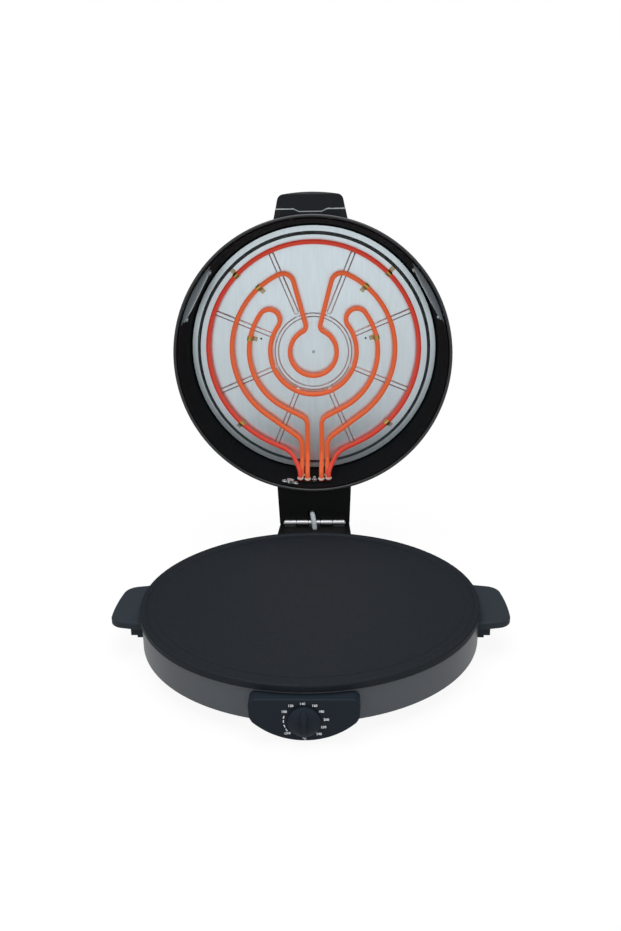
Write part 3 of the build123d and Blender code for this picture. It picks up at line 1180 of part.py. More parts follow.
STEP_RUN = STEP_OUTER_R - STEP_INNER_R
STEP_SHIFT = REFLECTOR_T * (hypot(STEP_DEEP, STEP_RUN) - STEP_RUN) / STEP_DEEP  # of its rear corners
with BuildPart() as reflector:
    with BuildSketch(LID_PROFILE):
        with BuildLine():
            Polyline(
                (REFLECTOR_DEEP, 0),
                (REFLECTOR_DEEP, STEP_INNER_R),
                (REFLECTOR_DEEP + STEP_DEEP, STEP_OUTER_R),
                (REFLECTOR_DEEP + STEP_DEEP, REFLECTOR_R),
                (REFLECTOR_DEEP + STEP_DEEP + REFLECTOR_T, REFLECTOR_R),
                (REFLECTOR_DEEP + STEP_DEEP + REFLECTOR_T, STEP_OUTER_R - STEP_SHIFT),
                (REFLECTOR_DEEP + REFLECTOR_T, STEP_INNER_R - STEP_SHIFT),
                (REFLECTOR_DEEP + REFLECTOR_T, 0),
                close=True,
            )
        make_face()
    revolve(axis=LID_AXIS)
    with BuildSketch(lid_face(REFLECTOR_DEEP)):
        for index in range(RIBS):
            with PolarLocations((RIB_INNER_R + RIB_OUTER_R) / 2, 1, RIB_FIRST + index * 360 / RIBS):
                SlotOverall(RIB_OUTER_R - RIB_INNER_R, RIB_WIDE)
    extrude(amount=RIB_HIGH, taper=45)
    with BuildSketch(LID_PROFILE):
        with BuildLine():
            Polyline(
                (REFLECTOR_DEEP + 0.1, HUB_RING_INNER_R),
                (REFLECTOR_DEEP - RIB_HIGH, HUB_RING_INNER_R + RIB_HIGH),
                (REFLECTOR_DEEP - RIB_HIGH, HUB_RING_OUTER_R - RIB_HIGH),
                (REFLECTOR_DEEP + 0.1, HUB_RING_OUTER_R),
                close=True,
            )
        make_face()
    revolve(axis=LID_AXIS)
    with BuildSketch(lid_face(REFLECTOR_DEEP + REFLECTOR_T)):
        for index in range(RIBS):
            with PolarLocations((RIB_INNER_R + RIB_OUTER_R) / 2, 1, RIB_FIRST + index * 360 / RIBS):
                SlotOverall(RIB_OUTER_R - RIB_INNER_R - 4, RIB_WIDE - 4)
    extrude(amount=RIB_HIGH, mode=Mode.SUBTRACT)
    cut_hole(lid_face(REFLECTOR_DEEP), SCREW_R + FIT, 5)
    for angle in (14, 165.5):
        spot = on_circle(79, angle)
        cut_hole(Plane((spot.X, REFLECTOR_Y, spot.Z), x_dir=(1, 0, 0), z_dir=(0, -1, 0)), 1.5, 5)
    for ring, up, angle, side in CLIP_TABLE:
        cut_hole(clip_screw_plane(ring, up, angle, side, REFLECTOR_DEEP), CLIP_SCREW_R + FIT, 5)
reflector.part.label = "reflector"
export_step(reflector.part, "parts/reflector.step")

with BuildPart() as reflector_spacer:
    with place(lid_face(REFLECTOR_DEEP + REFLECTOR_T)):
        Cylinder(6, LID_DEPTH - LID_SHEET - REFLECTOR_DEEP - REFLECTOR_T - 0.1, align=HIGH)
        Cylinder(SCREW_R + FIT, 10, align=HIGH, mode=Mode.SUBTRACT)
reflector_spacer.part.label = "reflector_spacer"
export_step(reflector_spacer.part, "parts/reflector_spacer.step")

# ------------------------------------------------------------------ lid heaters
OUTER_TANGENT = tangent_angle(OUTER_R, OUTER_UP, OUTER_KNEE)
MIDDLE_TANGENT = tangent_angle(MIDDLE_R, MIDDLE_UP, MIDDLE_KNEE)
INNER_TANGENT = tangent_angle(INNER_R, INNER_UP, INNER_KNEE)

with BuildPart() as outer_heater:
    with BuildLine() as outer_path:
        lid_arc(OUTER_R, OUTER_TANGENT, 180 - OUTER_TANGENT, OUTER_UP)
        for side in (-1, 1):
            end = on_circle(OUTER_R, OUTER_TANGENT, OUTER_UP)
            FilletPolyline(
                (side * end.X, end.Y, end.Z),
                tube_point(side * OUTER_KNEE[0], OUTER_KNEE[1]),
                tube_point(side * OUTER_LEG_X, LEG_TURN, LID_Y + FRONT_ROW_DEEP),
                tube_point(side * OUTER_LEG_X, LEG_END, LID_Y + FRONT_ROW_DEEP),
                radius=(25, 14),
            )
    outer_wire = outer_path.wires()[0]
    with BuildSketch(Plane(outer_wire @ 0, z_dir=outer_wire % 0)):
        Circle(TUBE_R)
    sweep(path=outer_wire)
outer_heater.part.label = "outer_heater"
export_step(outer_heater.part, "parts/outer_heater.step")

# the leg between lobe and loop leans by NECK_LEAN; the lobe touches it and the ring
LEAN = Vector(sin(radians(NECK_LEAN)), 0, cos(radians(NECK_LEAN)))
ACROSS = Vector(cos(radians(NECK_LEAN)), 0, -sin(radians(NECK_LEAN)))
ON_LEG = Vector(NECK_X, 0, NECK_Z)
RING_MID = Vector(0, 0, MIDDLE_UP)
LOBE_LINE = ON_LEG + ACROSS * LOBE_R - RING_MID
LOBE_RUN = -LOBE_LINE.dot(LEAN) + sqrt(
    LOBE_LINE.dot(LEAN) ** 2 - LOBE_LINE.dot(LOBE_LINE) + (MIDDLE_R - LOBE_R) ** 2
)
LOBE_MID = ON_LEG + ACROSS * LOBE_R + LEAN * LOBE_RUN
LOBE_TOP = degrees(atan2(LOBE_MID.Z - MIDDLE_UP, LOBE_MID.X))
LOBE_FOOT = LOBE_MID - ACROSS * LOBE_R
# the small arc that turns the leg into the centre loop
NECK_LINE = ON_LEG + ACROSS * NECK_R
NECK_RUN = -NECK_LINE.dot(LEAN) + sqrt(
    NECK_LINE.dot(LEAN) ** 2 - NECK_LINE.dot(NECK_LINE) + (LOOP_R + NECK_R) ** 2
)
NECK_MID = NECK_LINE + LEAN * NECK_RUN
NECK_TOP = NECK_MID - ACROSS * NECK_R
NECK_LOW = NECK_MID * (LOOP_R / (LOOP_R + NECK_R))
NECK_OUT = NECK_MID + ((NECK_TOP - NECK_MID) + (NECK_LOW - NECK_MID)).normalized() * NECK_R
LOOP_END = degrees(atan2(NECK_LOW.Z, NECK_LOW.X))


def mid_point(spot, side):
    """Point of the heaters' plane from a flat vector, mirrored for the left side."""
    return tube_point(side * spot.X, spot.Z)


with BuildPart() as middle_heater:
    with BuildLine() as middle_path:
        lid_arc(LOOP_R, LOOP_END, -180 - LOOP_END)
        for side in (-1, 1):
            ThreePointArc(
                mid_point(NECK_LOW, side), mid_point(NECK_OUT, side), mid_point(NECK_TOP, side)
            )
            Line(mid_point(NECK_TOP, side), mid_point(LOBE_FOOT, side))
            lobe_end = LOBE_MID + Vector(LOBE_R, 0, 0).rotate(Axis.Y, -LOBE_TOP)
            lobe_peak = LOBE_MID + (
                (LOBE_FOOT - LOBE_MID).normalized() + (lobe_end - LOBE_MID).normalized()
            ).normalized() * LOBE_R
            ThreePointArc(
                mid_point(LOBE_FOOT, side), mid_point(lobe_peak, side), mid_point(lobe_end, side)
            )
            arc_points = [
                on_circle(MIDDLE_R, turn, MIDDLE_UP)
                for turn in (LOBE_TOP, (LOBE_TOP + MIDDLE_TANGENT) / 2, MIDDLE_TANGENT)
            ]
            ThreePointArc(*[(side * spot.X, spot.Y, spot.Z) for spot in arc_points])
            FilletPolyline(
                (side * arc_points[2].X, arc_points[2].Y, arc_points[2].Z),
                tube_point(side * MIDDLE_KNEE[0], MIDDLE_KNEE[1]),
                tube_point(side * MIDDLE_KNEE[0], MIDDLE_DIP),
                tube_point(side * MIDDLE_KNEE[0], LEG_TURN, LID_Y + BACK_ROW_DEEP),
                tube_point(side * MIDDLE_KNEE[0], LEG_END, LID_Y + BACK_ROW_DEEP),
                radius=(22, 10, 10),
            )
    middle_wire = middle_path.wires()[0]
    with BuildSketch(Plane(middle_wire @ 0, z_dir=middle_wire % 0)):
        Circle(TUBE_R)
    sweep(path=middle_wire)
middle_heater.part.label = "middle_heater"
export_step(middle_heater.part, "parts/middle_heater.step")

PIN_TURN_R = (INNER_R - HAIRPIN_R) / 2
with BuildPart() as inner_heater:
    with BuildLine() as inner_path:
        lid_arc(HAIRPIN_R, HAIRPIN_AT, -180 - HAIRPIN_AT, INNER_UP)
        for side in (-1, 1):
            outward = Vector(cos(radians(HAIRPIN_AT)), 0, sin(radians(HAIRPIN_AT)))
            onward = Vector(-sin(radians(HAIRPIN_AT)), 0, cos(radians(HAIRPIN_AT)))
            hub = outward * (HAIRPIN_R + PIN_TURN_R) + Vector(0, 0, INNER_UP)
            ThreePointArc(
                mid_point(hub - outward * PIN_TURN_R, side),
                mid_point(hub + onward * PIN_TURN_R, side),
                mid_point(hub + outward * PIN_TURN_R, side),
            )
            arc_points = [
                on_circle(INNER_R, turn, INNER_UP)
                for turn in (HAIRPIN_AT, (HAIRPIN_AT + INNER_TANGENT) / 2, INNER_TANGENT)
            ]
            ThreePointArc(*[(side * spot.X, spot.Y, spot.Z) for spot in arc_points])
            FilletPolyline(
                (side * arc_points[2].X, arc_points[2].Y, arc_points[2].Z),
                tube_point(side * INNER_KNEE[0], INNER_KNEE[1]),
                tube_point(side * INNER_KNEE[0], INNER_DIP),
                tube_point(side * INNER_LEG_X, LEG_TURN, LID_Y + FRONT_ROW_DEEP),
                tube_point(side * INNER_LEG_X, LEG_END, LID_Y + FRONT_ROW_DEEP),
                radius=(14, 12, 12),
            )
    inner_wire = inner_path.wires()[0]
    with BuildSketch(Plane(inner_wire @ 0, z_dir=inner_wire % 0)):
        Circle(TUBE_R)
    sweep(path=inner_wire)
inner_heater.part.label = "inner_heater"
export_step(inner_heater.part, "parts/inner_heater.step")

# ------------------------------------------------------------------ heater clips and screws
CLIP_IN = TUBE_R + 0.15
CLIP_OUT = CLIP_IN + CLIP_T
TUBE_RISE = REFLECTOR_DEEP - HEATER_DEEP
with BuildPart() as lid_heater_clips:
    for ring, up, angle, side in CLIP_TABLE:
        spot = on_circle(ring, angle, up)
        away = Vector(cos(radians(angle)), 0, sin(radians(angle))) * side
        with BuildSketch(
            Plane((spot.X, REFLECTOR_Y, spot.Z), x_dir=away, z_dir=away.cross(Vector(0, -1, 0)))
        ):
            with Locations((0, TUBE_RISE)):
                Circle(CLIP_OUT)
                Rectangle(2 * CLIP_OUT, CLIP_OUT + 1, align=(Align.CENTER, Align.MAX), mode=Mode.SUBTRACT)
                Circle(CLIP_IN, mode=Mode.SUBTRACT)
            with Locations((CLIP_IN, 0)):
                Rectangle(CLIP_T, TUBE_RISE, align=Align.MIN)
                Rectangle(CLIP_SCREW_OUT + 2.8 - CLIP_IN, CLIP_T, align=Align.MIN)
            with Locations((-CLIP_OUT, TUBE_RISE - 2.4)):
                Rectangle(CLIP_T, 2.4, align=Align.MIN)
        extrude(amount=CLIP_W / 2, both=True)
        cut_hole(clip_screw_plane(ring, up, angle, side, REFLECTOR_DEEP), CLIP_SCREW_R + FIT, 2)
lid_heater_clips.part.label = "lid_heater_clips"
export_step(lid_heater_clips.part, "parts/lid_heater_clips.step")

with BuildPart() as reflector_screws:
    add_screw(lid_face(REFLECTOR_DEEP), 9, SCREW_R, CLIP_HEAD_R, SCREW_HEAD_H)
    for ring, up, angle, side in CLIP_TABLE:
        spot = clip_screw_plane(ring, up, angle, side, REFLECTOR_DEEP - CLIP_T)
        add_screw(spot, 5, CLIP_SCREW_R, CLIP_HEAD_R, SCREW_HEAD_H)
reflector_screws.part.label = "reflector_screws"
export_step(reflector_screws.part, "parts/reflector_screws.step")

# ------------------------------------------------------------------ terminal plate of the lid heaters
PLATE_DEEP = TERMINAL_PLATE_DEEP
with BuildPart() as lid_terminal_plate:
    with BuildSketch(LID_PROFILE):
        with BuildLine():
            Polyline(
                (PLATE_DEEP[0], liner_r(PLATE_DEEP[0]) - LINER_SHEET - FIT),
                (PLATE_DEEP[1], liner_r(PLATE_DEEP[1]) - LINER_SHEET - FIT),
                (PLATE_DEEP[1], liner_r(PLATE_DEEP[1]) - LINER_SHEET - FIT - TERMINAL_PLATE_T),
                (PLATE_DEEP[0], liner_r(PLATE_DEEP[0]) - LINER_SHEET - FIT - TERMINAL_PLATE_T),
                close=True,
            )
        make_face()
    revolve(axis=LID_AXIS)
    with place(Plane((0, LID_Y + sum(PLATE_DEEP) / 2, LID_Z - 200))):
        Box(2 * TERMINAL_PLATE_X, 60, 60, mode=Mode.INTERSECT)
    for x, deep in LEG_SPOTS:
        cut_hole(Plane((x, LID_Y + deep, LID_Z - liner_r(deep))), TUBE_R + FIT, 6)
    cut_hole(Plane((0, LID_Y + BOLT_DEEP, LID_Z - liner_r(BOLT_DEEP))), BIG_SCREW_R + FIT, 4)
lid_terminal_plate.part.label = "lid_terminal_plate"
export_step(lid_terminal_plate.part, "parts/lid_terminal_plate.step")

def terminal_seat(x, deep, radius):
    """Height of the terminal plate's top under a disc of the given radius."""
    plate_r = liner_r(deep + radius) - LINER_SHEET - FIT - TERMINAL_PLATE_T
    return LID_Z - sqrt(plate_r**2 - (abs(x) + radius) ** 2)


BOLT_HEAD_R = 3.8
BOLT_Z = terminal_seat(0, BOLT_DEEP, BOLT_HEAD_R) + FIT
with BuildPart() as terminal_plate_bolt:
    with place(Plane((0, LID_Y + BOLT_DEEP, BOLT_Z))):
        Cylinder(BIG_SCREW_R, 6, align=HIGH)
        Cylinder(BIG_SCREW_R, BOLT_STUD, align=LOW)
    with BuildSketch(Plane((0, LID_Y + BOLT_DEEP, BOLT_Z))):
        RegularPolygon(BOLT_HEAD_R, 6)
    extrude(amount=3)
terminal_plate_bolt.part.label = "terminal_plate_bolt"
export_step(terminal_plate_bolt.part, "parts/terminal_plate_bolt.step")

TUBE_END_Z = LID_Z + LEG_END
with BuildPart() as heater_insulators:
    for x, deep in LEG_SPOTS:
        with place(Plane((x, LID_Y + deep, TUBE_END_Z))):
            Cylinder(BEAD_R, BEAD_H, align=HIGH)
            Cylinder(TERMINAL_PIN_R + FIT, BEAD_H, align=HIGH, mode=Mode.SUBTRACT)
        with place(Plane((x, LID_Y + deep, terminal_seat(x, deep, BUSH_R) + FIT))):
            Cylinder(BUSH_R, BUSH_H, align=LOW)
            Cylinder(TUBE_R + FIT, BUSH_H, align=LOW, mode=Mode.SUBTRACT)
heater_insulators.part.label = "heater_insulators"
export_step(heater_insulators.part, "parts/heater_insulators.step")

with BuildPart() as heater_tabs:
    for x, deep in LEG_SPOTS:
        with place(Plane((x, LID_Y + deep, TUBE_END_Z))):
            Cylinder(TERMINAL_PIN_R, BEAD_H + 2, align=HIGH)
        with place(Plane((x, LID_Y + deep, TUBE_END_Z - BEAD_H - 0.5))):
            Box(TAB_T, TAB_WIDE, TAB_LONG, align=HIGH)
            with Locations((0, 0, -TAB_LONG + 3)):
                Box(4, 1.6, 1.6, mode=Mode.SUBTRACT)
heater_tabs.part.label = "heater_tabs"
export_step(heater_tabs.part, "parts/heater_tabs.step")

# ------------------------------------------------------------------ limit thermostat of the lid
CUTOUT_SEAT = liner_r(CUTOUT_DEEP + CUTOUT_WIDE / 2) * cos(radians(3.8)) - LINER_SHEET - FIT
with BuildPart() as lid_thermal_cutout:
    with place(lid_radial(CUTOUT_AT, CUTOUT_SEAT, CUTOUT_DEEP)):
        Box(CUTOUT_WIDE, CUTOUT_LONG, 0.8, align=LOW)
        Cylinder(CUTOUT_R, CUTOUT_H, align=LOW)
        with Locations((0, CUTOUT_SCREW_X, 0), (0, -CUTOUT_SCREW_X, 0)):
            Cylinder(SCREW_R + FIT, 4, mode=Mode.SUBTRACT)
lid_thermal_cutout.part.label = "lid_thermal_cutout"
export_step(lid_thermal_cutout.part, "parts/lid_thermal_cutout.step")

with BuildPart() as cutout_screws:
    for side in (-1, 1):
        spot = lid_radial(CUTOUT_AT, CUTOUT_SEAT - 0.8, CUTOUT_DEEP)
        origin = spot.origin + spot.y_dir * (side * CUTOUT_SCREW_X)
        add_screw(Plane(origin, x_dir=spot.x_dir, z_dir=spot.z_dir), 4, SCREW_R, CLIP_HEAD_R)
cutout_screws.part.label = "cutout_screws"
export_step(cutout_screws.part, "parts/cutout_screws.step")

# ------------------------------------------------------------------ side windows
FRAME_EDGES = [WINDOW_DEEP - FRAME_WIDE / 2, WINDOW_DEEP + FRAME_WIDE / 2]
FRAME_ROOTS = [liner_r(deep) - LINER_SHEET - FIT for deep in FRAME_EDGES]
with BuildPart() as window_frames:
    for angle in WINDOW_ANGLES:
        with BuildPart(mode=Mode.PRIVATE) as frame_core:
            with BuildSketch(LID_PROFILE):
                with BuildLine():
                    Polyline(
                        (FRAME_EDGES[0], 150),
                        (FRAME_EDGES[1], 150),
                        (FRAME_EDGES[1], FRAME_ROOTS[1]),
                        (FRAME_EDGES[0], FRAME_ROOTS[0]),
                        close=True,
                    )
                make_face()
            revolve(axis=LID_AXIS)
            with place(lid_radial(angle, PANE_OUT + FIT / 2, WINDOW_DEEP)):
                Box(40, 110, 60, align=HIGH, mode=Mode.INTERSECT)
        add(frame_core.part)
        with place(lid_radial(angle, PANE_OUT + FIT / 2, WINDOW_DEEP)):
            Box(TONGUE_WIDE, TONGUE_LONG, LID_WALL_R - PANE_OUT - 3, align=HIGH)
            Box(WINDOW_SLOT_WIDE, WINDOW_SLOT_LONG, 60, align=HIGH, mode=Mode.SUBTRACT)
            with Locations((0, PANE_SCREW_AT, 0), (0, -PANE_SCREW_AT, 0)):
                Cylinder(SCREW_R + FIT, 20, mode=Mode.SUBTRACT)
window_frames.part.label = "window_frames"
export_step(window_frames.part, "parts/window_frames.step")

with BuildPart() as window_panes:
    for angle in WINDOW_ANGLES:
        with place(lid_radial(angle, PANE_OUT, WINDOW_DEEP)):
            Box(PANE_WIDE, PANE_LONG, PANE_T, align=LOW)
            with Locations((0, PANE_SCREW_AT, 0), (0, -PANE_SCREW_AT, 0)):
                Cylinder(SCREW_R + FIT, 20, mode=Mode.SUBTRACT)
window_panes.part.label = "window_panes"
export_step(window_panes.part, "parts/window_panes.step")

with BuildPart() as window_screws:
    for angle in WINDOW_ANGLES:
        for side in (-1, 1):
            window = lid_radial(angle, PANE_OUT - PANE_T, WINDOW_DEEP)
            spot = window.origin + window.y_dir * (side * PANE_SCREW_AT)
            add_screw(Plane(spot, x_dir=window.x_dir, z_dir=window.z_dir), 7.5)
window_screws.part.label = "window_screws"
export_step(window_screws.part, "parts/window_screws.step")

# ------------------------------------------------------------------ lid handle
SEAM_LOW = GRIP_SEAM_R - GRIP_SEAM_DROP
SEAM_X = GRIP_SEAM_FLAT + GRIP_SEAM_RAMP


def seam_line(rise, half):
    """Points along the handle's seam from left to right, raised by the given amount."""
    return [
        (-half, GRIP_SEAM_R + rise),
        (-SEAM_X, GRIP_SEAM_R + rise),
        (-GRIP_SEAM_FLAT, SEAM_LOW + rise),
        (GRIP_SEAM_FLAT, SEAM_LOW + rise),
        (SEAM_X, GRIP_SEAM_R + rise),
        (half, GRIP_SEAM_R + rise),
    ]


def grip_side(proud=0.0):
    """Points of the handle's side outline, depth behind the rim and radius, moved out."""
    front, back = GRIP_DEEP[0] - proud, GRIP_DEEP[1] + proud
    return [
        (front, 150),
        (front, GRIP_SEAM_R),
        (GRIP_END_DEEP[0] - proud, GRIP_END_R + 1),
        (GRIP_END_DEEP[1] + proud, GRIP_END_R + 1),
        (back, GRIP_SEAM_R),
        (back, 150),
    ]


def grip_plan(bevel, proud=0.0):
    """Points of the handle's plan outline, across and depth, with bevelled front corners."""
    wide = GRIP_HALF_BASE + 3
    front, back = GRIP_DEEP[0] - proud, GRIP_DEEP[1] + proud
    return [
        (-wide, back),
        (-wide, front + bevel),
        (-GRIP_FACE_HALF, front),
        (GRIP_FACE_HALF, front),
        (wide, front + bevel),
        (wide, back),
    ]


GRIP_PLAN = Plane((0, LID_Y, LID_Z), x_dir=(1, 0, 0), z_dir=(0, 0, 1))  # across, depth

with BuildPart() as lid_handle_base:
    with BuildSketch(lid_face(0)):
        with BuildLine():
            Polyline(
                (-GRIP_HALF_BASE, GRIP_FOOT_R),
                *seam_line(0, GRIP_HALF_SEAM),
                (GRIP_HALF_BASE, GRIP_FOOT_R),
                close=True,
            )
        make_face()
    extrude(amount=-60)
    with BuildSketch(LID_PROFILE):
        with BuildLine():
            Polyline(*grip_side(), close=True)
        make_face()
    extrude(amount=60, both=True, mode=Mode.INTERSECT)
    with BuildSketch(GRIP_PLAN):
        with BuildLine():
            Polyline(*grip_plan(GRIP_BEVEL), close=True)
        make_face()
    extrude(amount=260, mode=Mode.INTERSECT)
    with place(lid_face(0)):
        Cylinder(LID_WALL_R + FIT, 60, align=HIGH, mode=Mode.SUBTRACT)
    for angle in GRIP_SCREW_ANGLES:
        cut_hole(lid_radial(angle, LID_WALL_R, GRIP_SCREW_DEEP), BIG_SCREW_R + FIT, 40)
lid_handle_base.part.label = "lid_handle_base"
export_step(lid_handle_base.part, "parts/lid_handle_base.step")

with BuildPart() as lid_handle_trim:
    with BuildSketch(lid_face(0)):
        with BuildLine():
            Polyline(
                *seam_line(FIT, GRIP_HALF_SEAM + TRIM_PROUD),
                *reversed(seam_line(FIT + TRIM_T, GRIP_HALF_SEAM - GRIP_STEP + TRIM_PROUD)),
                close=True,
            )
        make_face()
    extrude(amount=-60)
    with BuildSketch(LID_PROFILE):
        with BuildLine():
            Polyline(*grip_side(TRIM_PROUD), close=True)
        make_face()
    extrude(amount=60, both=True, mode=Mode.INTERSECT)
    with BuildSketch(GRIP_PLAN):
        with BuildLine():
            Polyline(*grip_plan(GRIP_BEVEL, TRIM_PROUD), close=True)
        make_face()
    extrude(amount=260, mode=Mode.INTERSECT)
    for angle in GRIP_SCREW_ANGLES:
        cut_hole(lid_radial(angle, GRIP_SEAM_R, GRIP_SCREW_DEEP), BIG_SCREW_R + FIT, 9)
lid_handle_trim.part.label = "lid_handle_trim"
export_step(lid_handle_trim.part, "parts/lid_handle_trim.step")

with BuildPart() as lid_handle_grip:
    with BuildSketch(lid_face(0)) as grip_front:
        with BuildLine():
            Polyline(
                (-GRIP_HALF_TOP, GRIP_SIDE_R),
                *seam_line(TRIM_T + 2 * FIT, GRIP_HALF_SEAM - GRIP_STEP),
                (GRIP_HALF_TOP, GRIP_SIDE_R),
            )
            ThreePointArc(
                (GRIP_HALF_TOP, GRIP_SIDE_R), (0, GRIP_END_R), (-GRIP_HALF_TOP, GRIP_SIDE_R)
            )
        make_face()
        fillet(grip_front.vertices().filter_by(lambda v: v.Y > GRIP_SIDE_R - 1), GRIP_CORNER_R)
    extrude(amount=-60)
    with BuildSketch(LID_PROFILE) as grip_edge:
        with BuildLine():
            Polyline(*grip_side(), close=True)
        make_face()
        fillet(grip_edge.vertices().group_by(Axis.Y)[-1], 7)
    extrude(amount=60, both=True, mode=Mode.INTERSECT)
    with BuildSketch(GRIP_PLAN):
        with BuildLine():
            Polyline(*grip_plan(GRIP_BEVEL * 0.8), close=True)
        make_face()
    extrude(amount=260, mode=Mode.INTERSECT)
    for angle in GRIP_SCREW_ANGLES:
        cut_hole(lid_radial(angle, GRIP_SEAM_R, GRIP_SCREW_DEEP), BIG_SCREW_R + FIT, 9)
lid_handle_grip.part.label = "lid_handle_grip"
export_step(lid_handle_grip.part, "parts/lid_handle_grip.step")

with BuildPart() as lid_handle_screws:
    for angle in GRIP_SCREW_ANGLES:
        spot = lid_radial(angle, WALL_IN - 0.1, GRIP_SCREW_DEEP)
        add_screw(spot, 17, BIG_SCREW_R, BIG_HEAD_R, SCREW_HEAD_H)
lid_handle_screws.part.label = "lid_handle_screws"
export_step(lid_handle_screws.part, "parts/lid_handle_screws.step")

# ------------------------------------------------------------------ hinge arm box of the lid
ARM_MID_Y = (ARM_FRONT + ARM_BACK) / 2
ARM_FACE = Plane((0, ARM_FRONT, 0), x_dir=(1, 0, 0), z_dir=(0, -1, 0))
with BuildPart() as lid_neck:
    with BuildSketch(ARM_FACE):
        with BuildLine():
            Polyline(*arm_outline(0, ARM_FOOT, ARM_TOP), close=True)
        make_face()
    extrude(amount=ARM_FRONT - ARM_BACK)
    fillet(lid_neck.edges().group_by(Axis.Z)[0].filter_by(Axis.Y), 3)
    with BuildSketch(ARM_FACE.offset(-ARM_WALL)):
        with BuildLine():
            Polyline(*arm_outline(ARM_WALL, ARM_FOOT + ARM_WALL, ARM_TOP + 10), close=True)
        make_face()
    extrude(amount=ARM_FRONT - ARM_BACK, mode=Mode.SUBTRACT)
    for side in (-1, 1):
        for z in ARM_SCREW_Z:
            block = Plane((side * (arm_half(z) - 6), ARM_BACK - ARM_COVER_T - 0.1, z), z_dir=(0, 1, 0))
            with place(block):
                Box(10, 9, 12, align=HIGH)
        with place(Plane((side * (arm_half(94) - 7), LID_Y + GRIP_SCREW_DEEP, 104))):
            Box(11, 12, 20)
    with place(lid_face(-10)):
        Cylinder(LID_WALL_R + FIT, 120, align=HIGH, mode=Mode.SUBTRACT)
    with place(lid_face(RIM_BEAD + 0.4)):
        Cylinder(LID_R + 0.4, 40, align=LOW, mode=Mode.SUBTRACT)
    for side in (-1, 1):
        for z in ARM_SCREW_Z:
            with place(Plane((side * ARM_SCREW_X, ARM_BACK - ARM_COVER_T, z), z_dir=(0, 1, 0))):
                Cylinder(SCREW_R + FIT, 18, mode=Mode.SUBTRACT)
        cut_hole(lid_radial(270 + side * ARM_SCREW_AT, LID_WALL_R, GRIP_SCREW_DEEP), SCREW_R + FIT, 9)
    for index in range(1, KNUCKLES, 2):
        middle = -BARREL_HALF + KNUCKLE_LONG / 2 + index * (KNUCKLE_LONG + KNUCKLE_GAP)
        with place(Plane((middle, ARM_FRONT, PIN_Z))):
            Box(KNUCKLE_LONG + 0.6, 3 * ARM_WALL, 4.2, mode=Mode.SUBTRACT)
    with place(Plane((LEAD_TOP_X, ARM_FRONT, LEAD_TOP_Z), z_dir=(0, -1, 0))):
        Cylinder(LEAD_HOLE_R, 3 * ARM_WALL, mode=Mode.SUBTRACT)
    for x in (-34, 34):
        cut_hole(Plane((x, ARM_FRONT, LEAD_TOP_Z), z_dir=(0, -1, 0)), SCREW_R + FIT, 3)
lid_neck.part.label = "lid_neck"
export_step(lid_neck.part, "parts/lid_neck.step")

with BuildPart() as neck_cover:
    with BuildSketch(ARM_FACE.offset(ARM_FRONT - ARM_BACK)):
        with BuildLine():
            Polyline(*arm_outline(ARM_WALL + 0.2, ARM_FOOT + ARM_WALL + 0.2, ARM_TOP + 15), close=True)
        make_face()
    extrude(amount=ARM_COVER_T)
    with place(lid_face(-10)):
        Cylinder(LID_WALL_R + 0.4, 120, align=HIGH, mode=Mode.SUBTRACT)
    for side in (-1, 1):
        for z in ARM_SCREW_Z:
            with place(Plane((side * ARM_SCREW_X, ARM_BACK, z), z_dir=(0, 1, 0))):
                Cylinder(SCREW_R + FIT, 6, mode=Mode.SUBTRACT)
    for x in range(-24, 25, 12):
        with place(Plane((x, ARM_BACK, 76), z_dir=(0, 1, 0))):
            Box(4, 18, 6, mode=Mode.SUBTRACT)
neck_cover.part.label = "neck_cover"
export_step(neck_cover.part, "parts/neck_cover.step")

with BuildPart() as neck_cover_screws:
    for side in (-1, 1):
        for z in ARM_SCREW_Z:
            add_screw(Plane((side * ARM_SCREW_X, ARM_BACK, z), z_dir=(0, 1, 0)), 8)
neck_cover_screws.part.label = "neck_cover_screws"
export_step(neck_cover_screws.part, "parts/neck_cover_screws.step")

with BuildPart() as lid_neck_screws:
    for side in (-1, 1):
        add_screw(lid_radial(270 + side * ARM_SCREW_AT, WALL_IN - 0.1, GRIP_SCREW_DEEP), 8)
lid_neck_screws.part.label = "lid_neck_screws"
export_step(lid_neck_screws.part, "parts/lid_neck_screws.step")

# ------------------------------------------------------------------ lid hinge leaf
LEAF_FRONT = ARM_FRONT + ARM_WALL
with BuildPart() as lid_hinge_leaf:
    with place(Plane((0, LEAF_FRONT, ARM_FOOT + ARM_WALL + 0.3))):
        Box(2 * LEAF_HALF, LEAF_T, LID_LEAF_RUN, align=(Align.CENTER, Align.MIN, Align.MIN))
    fillet(lid_hinge_leaf.edges().filter_by(Axis.Y), 2.0)
    for index in range(1, KNUCKLES, 2):
        middle = -BARREL_HALF + KNUCKLE_LONG / 2 + index * (KNUCKLE_LONG + KNUCKLE_GAP)
        with place(Plane((middle, PIN_Y, PIN_Z))):
            Box(
                KNUCKLE_LONG,
                LEAF_FRONT - PIN_Y + LEAF_T / 2,
                3.4,
                align=(Align.CENTER, Align.MIN, Align.CENTER),
            )
        with place(Plane((middle, PIN_Y, PIN_Z), z_dir=(1, 0, 0))):
            Cylinder(BARREL_R, KNUCKLE_LONG)
    with place(Plane((0, PIN_Y, PIN_Z), z_dir=(1, 0, 0))):
        Cylinder(PIN_R + RUNNING, 2 * BARREL_HALF, mode=Mode.SUBTRACT)
    with place(Plane((LEAD_TOP_X, LEAF_FRONT, LEAD_TOP_Z), z_dir=(0, -1, 0))):
        Cylinder(LEAD_HOLE_R, 8, mode=Mode.SUBTRACT)
    for x in (-34, 34):
        cut_hole(Plane((x, LEAF_FRONT, LEAD_TOP_Z), z_dir=(0, -1, 0)), SCREW_R + FIT, 3)
lid_hinge_leaf.part.label = "lid_hinge_leaf"
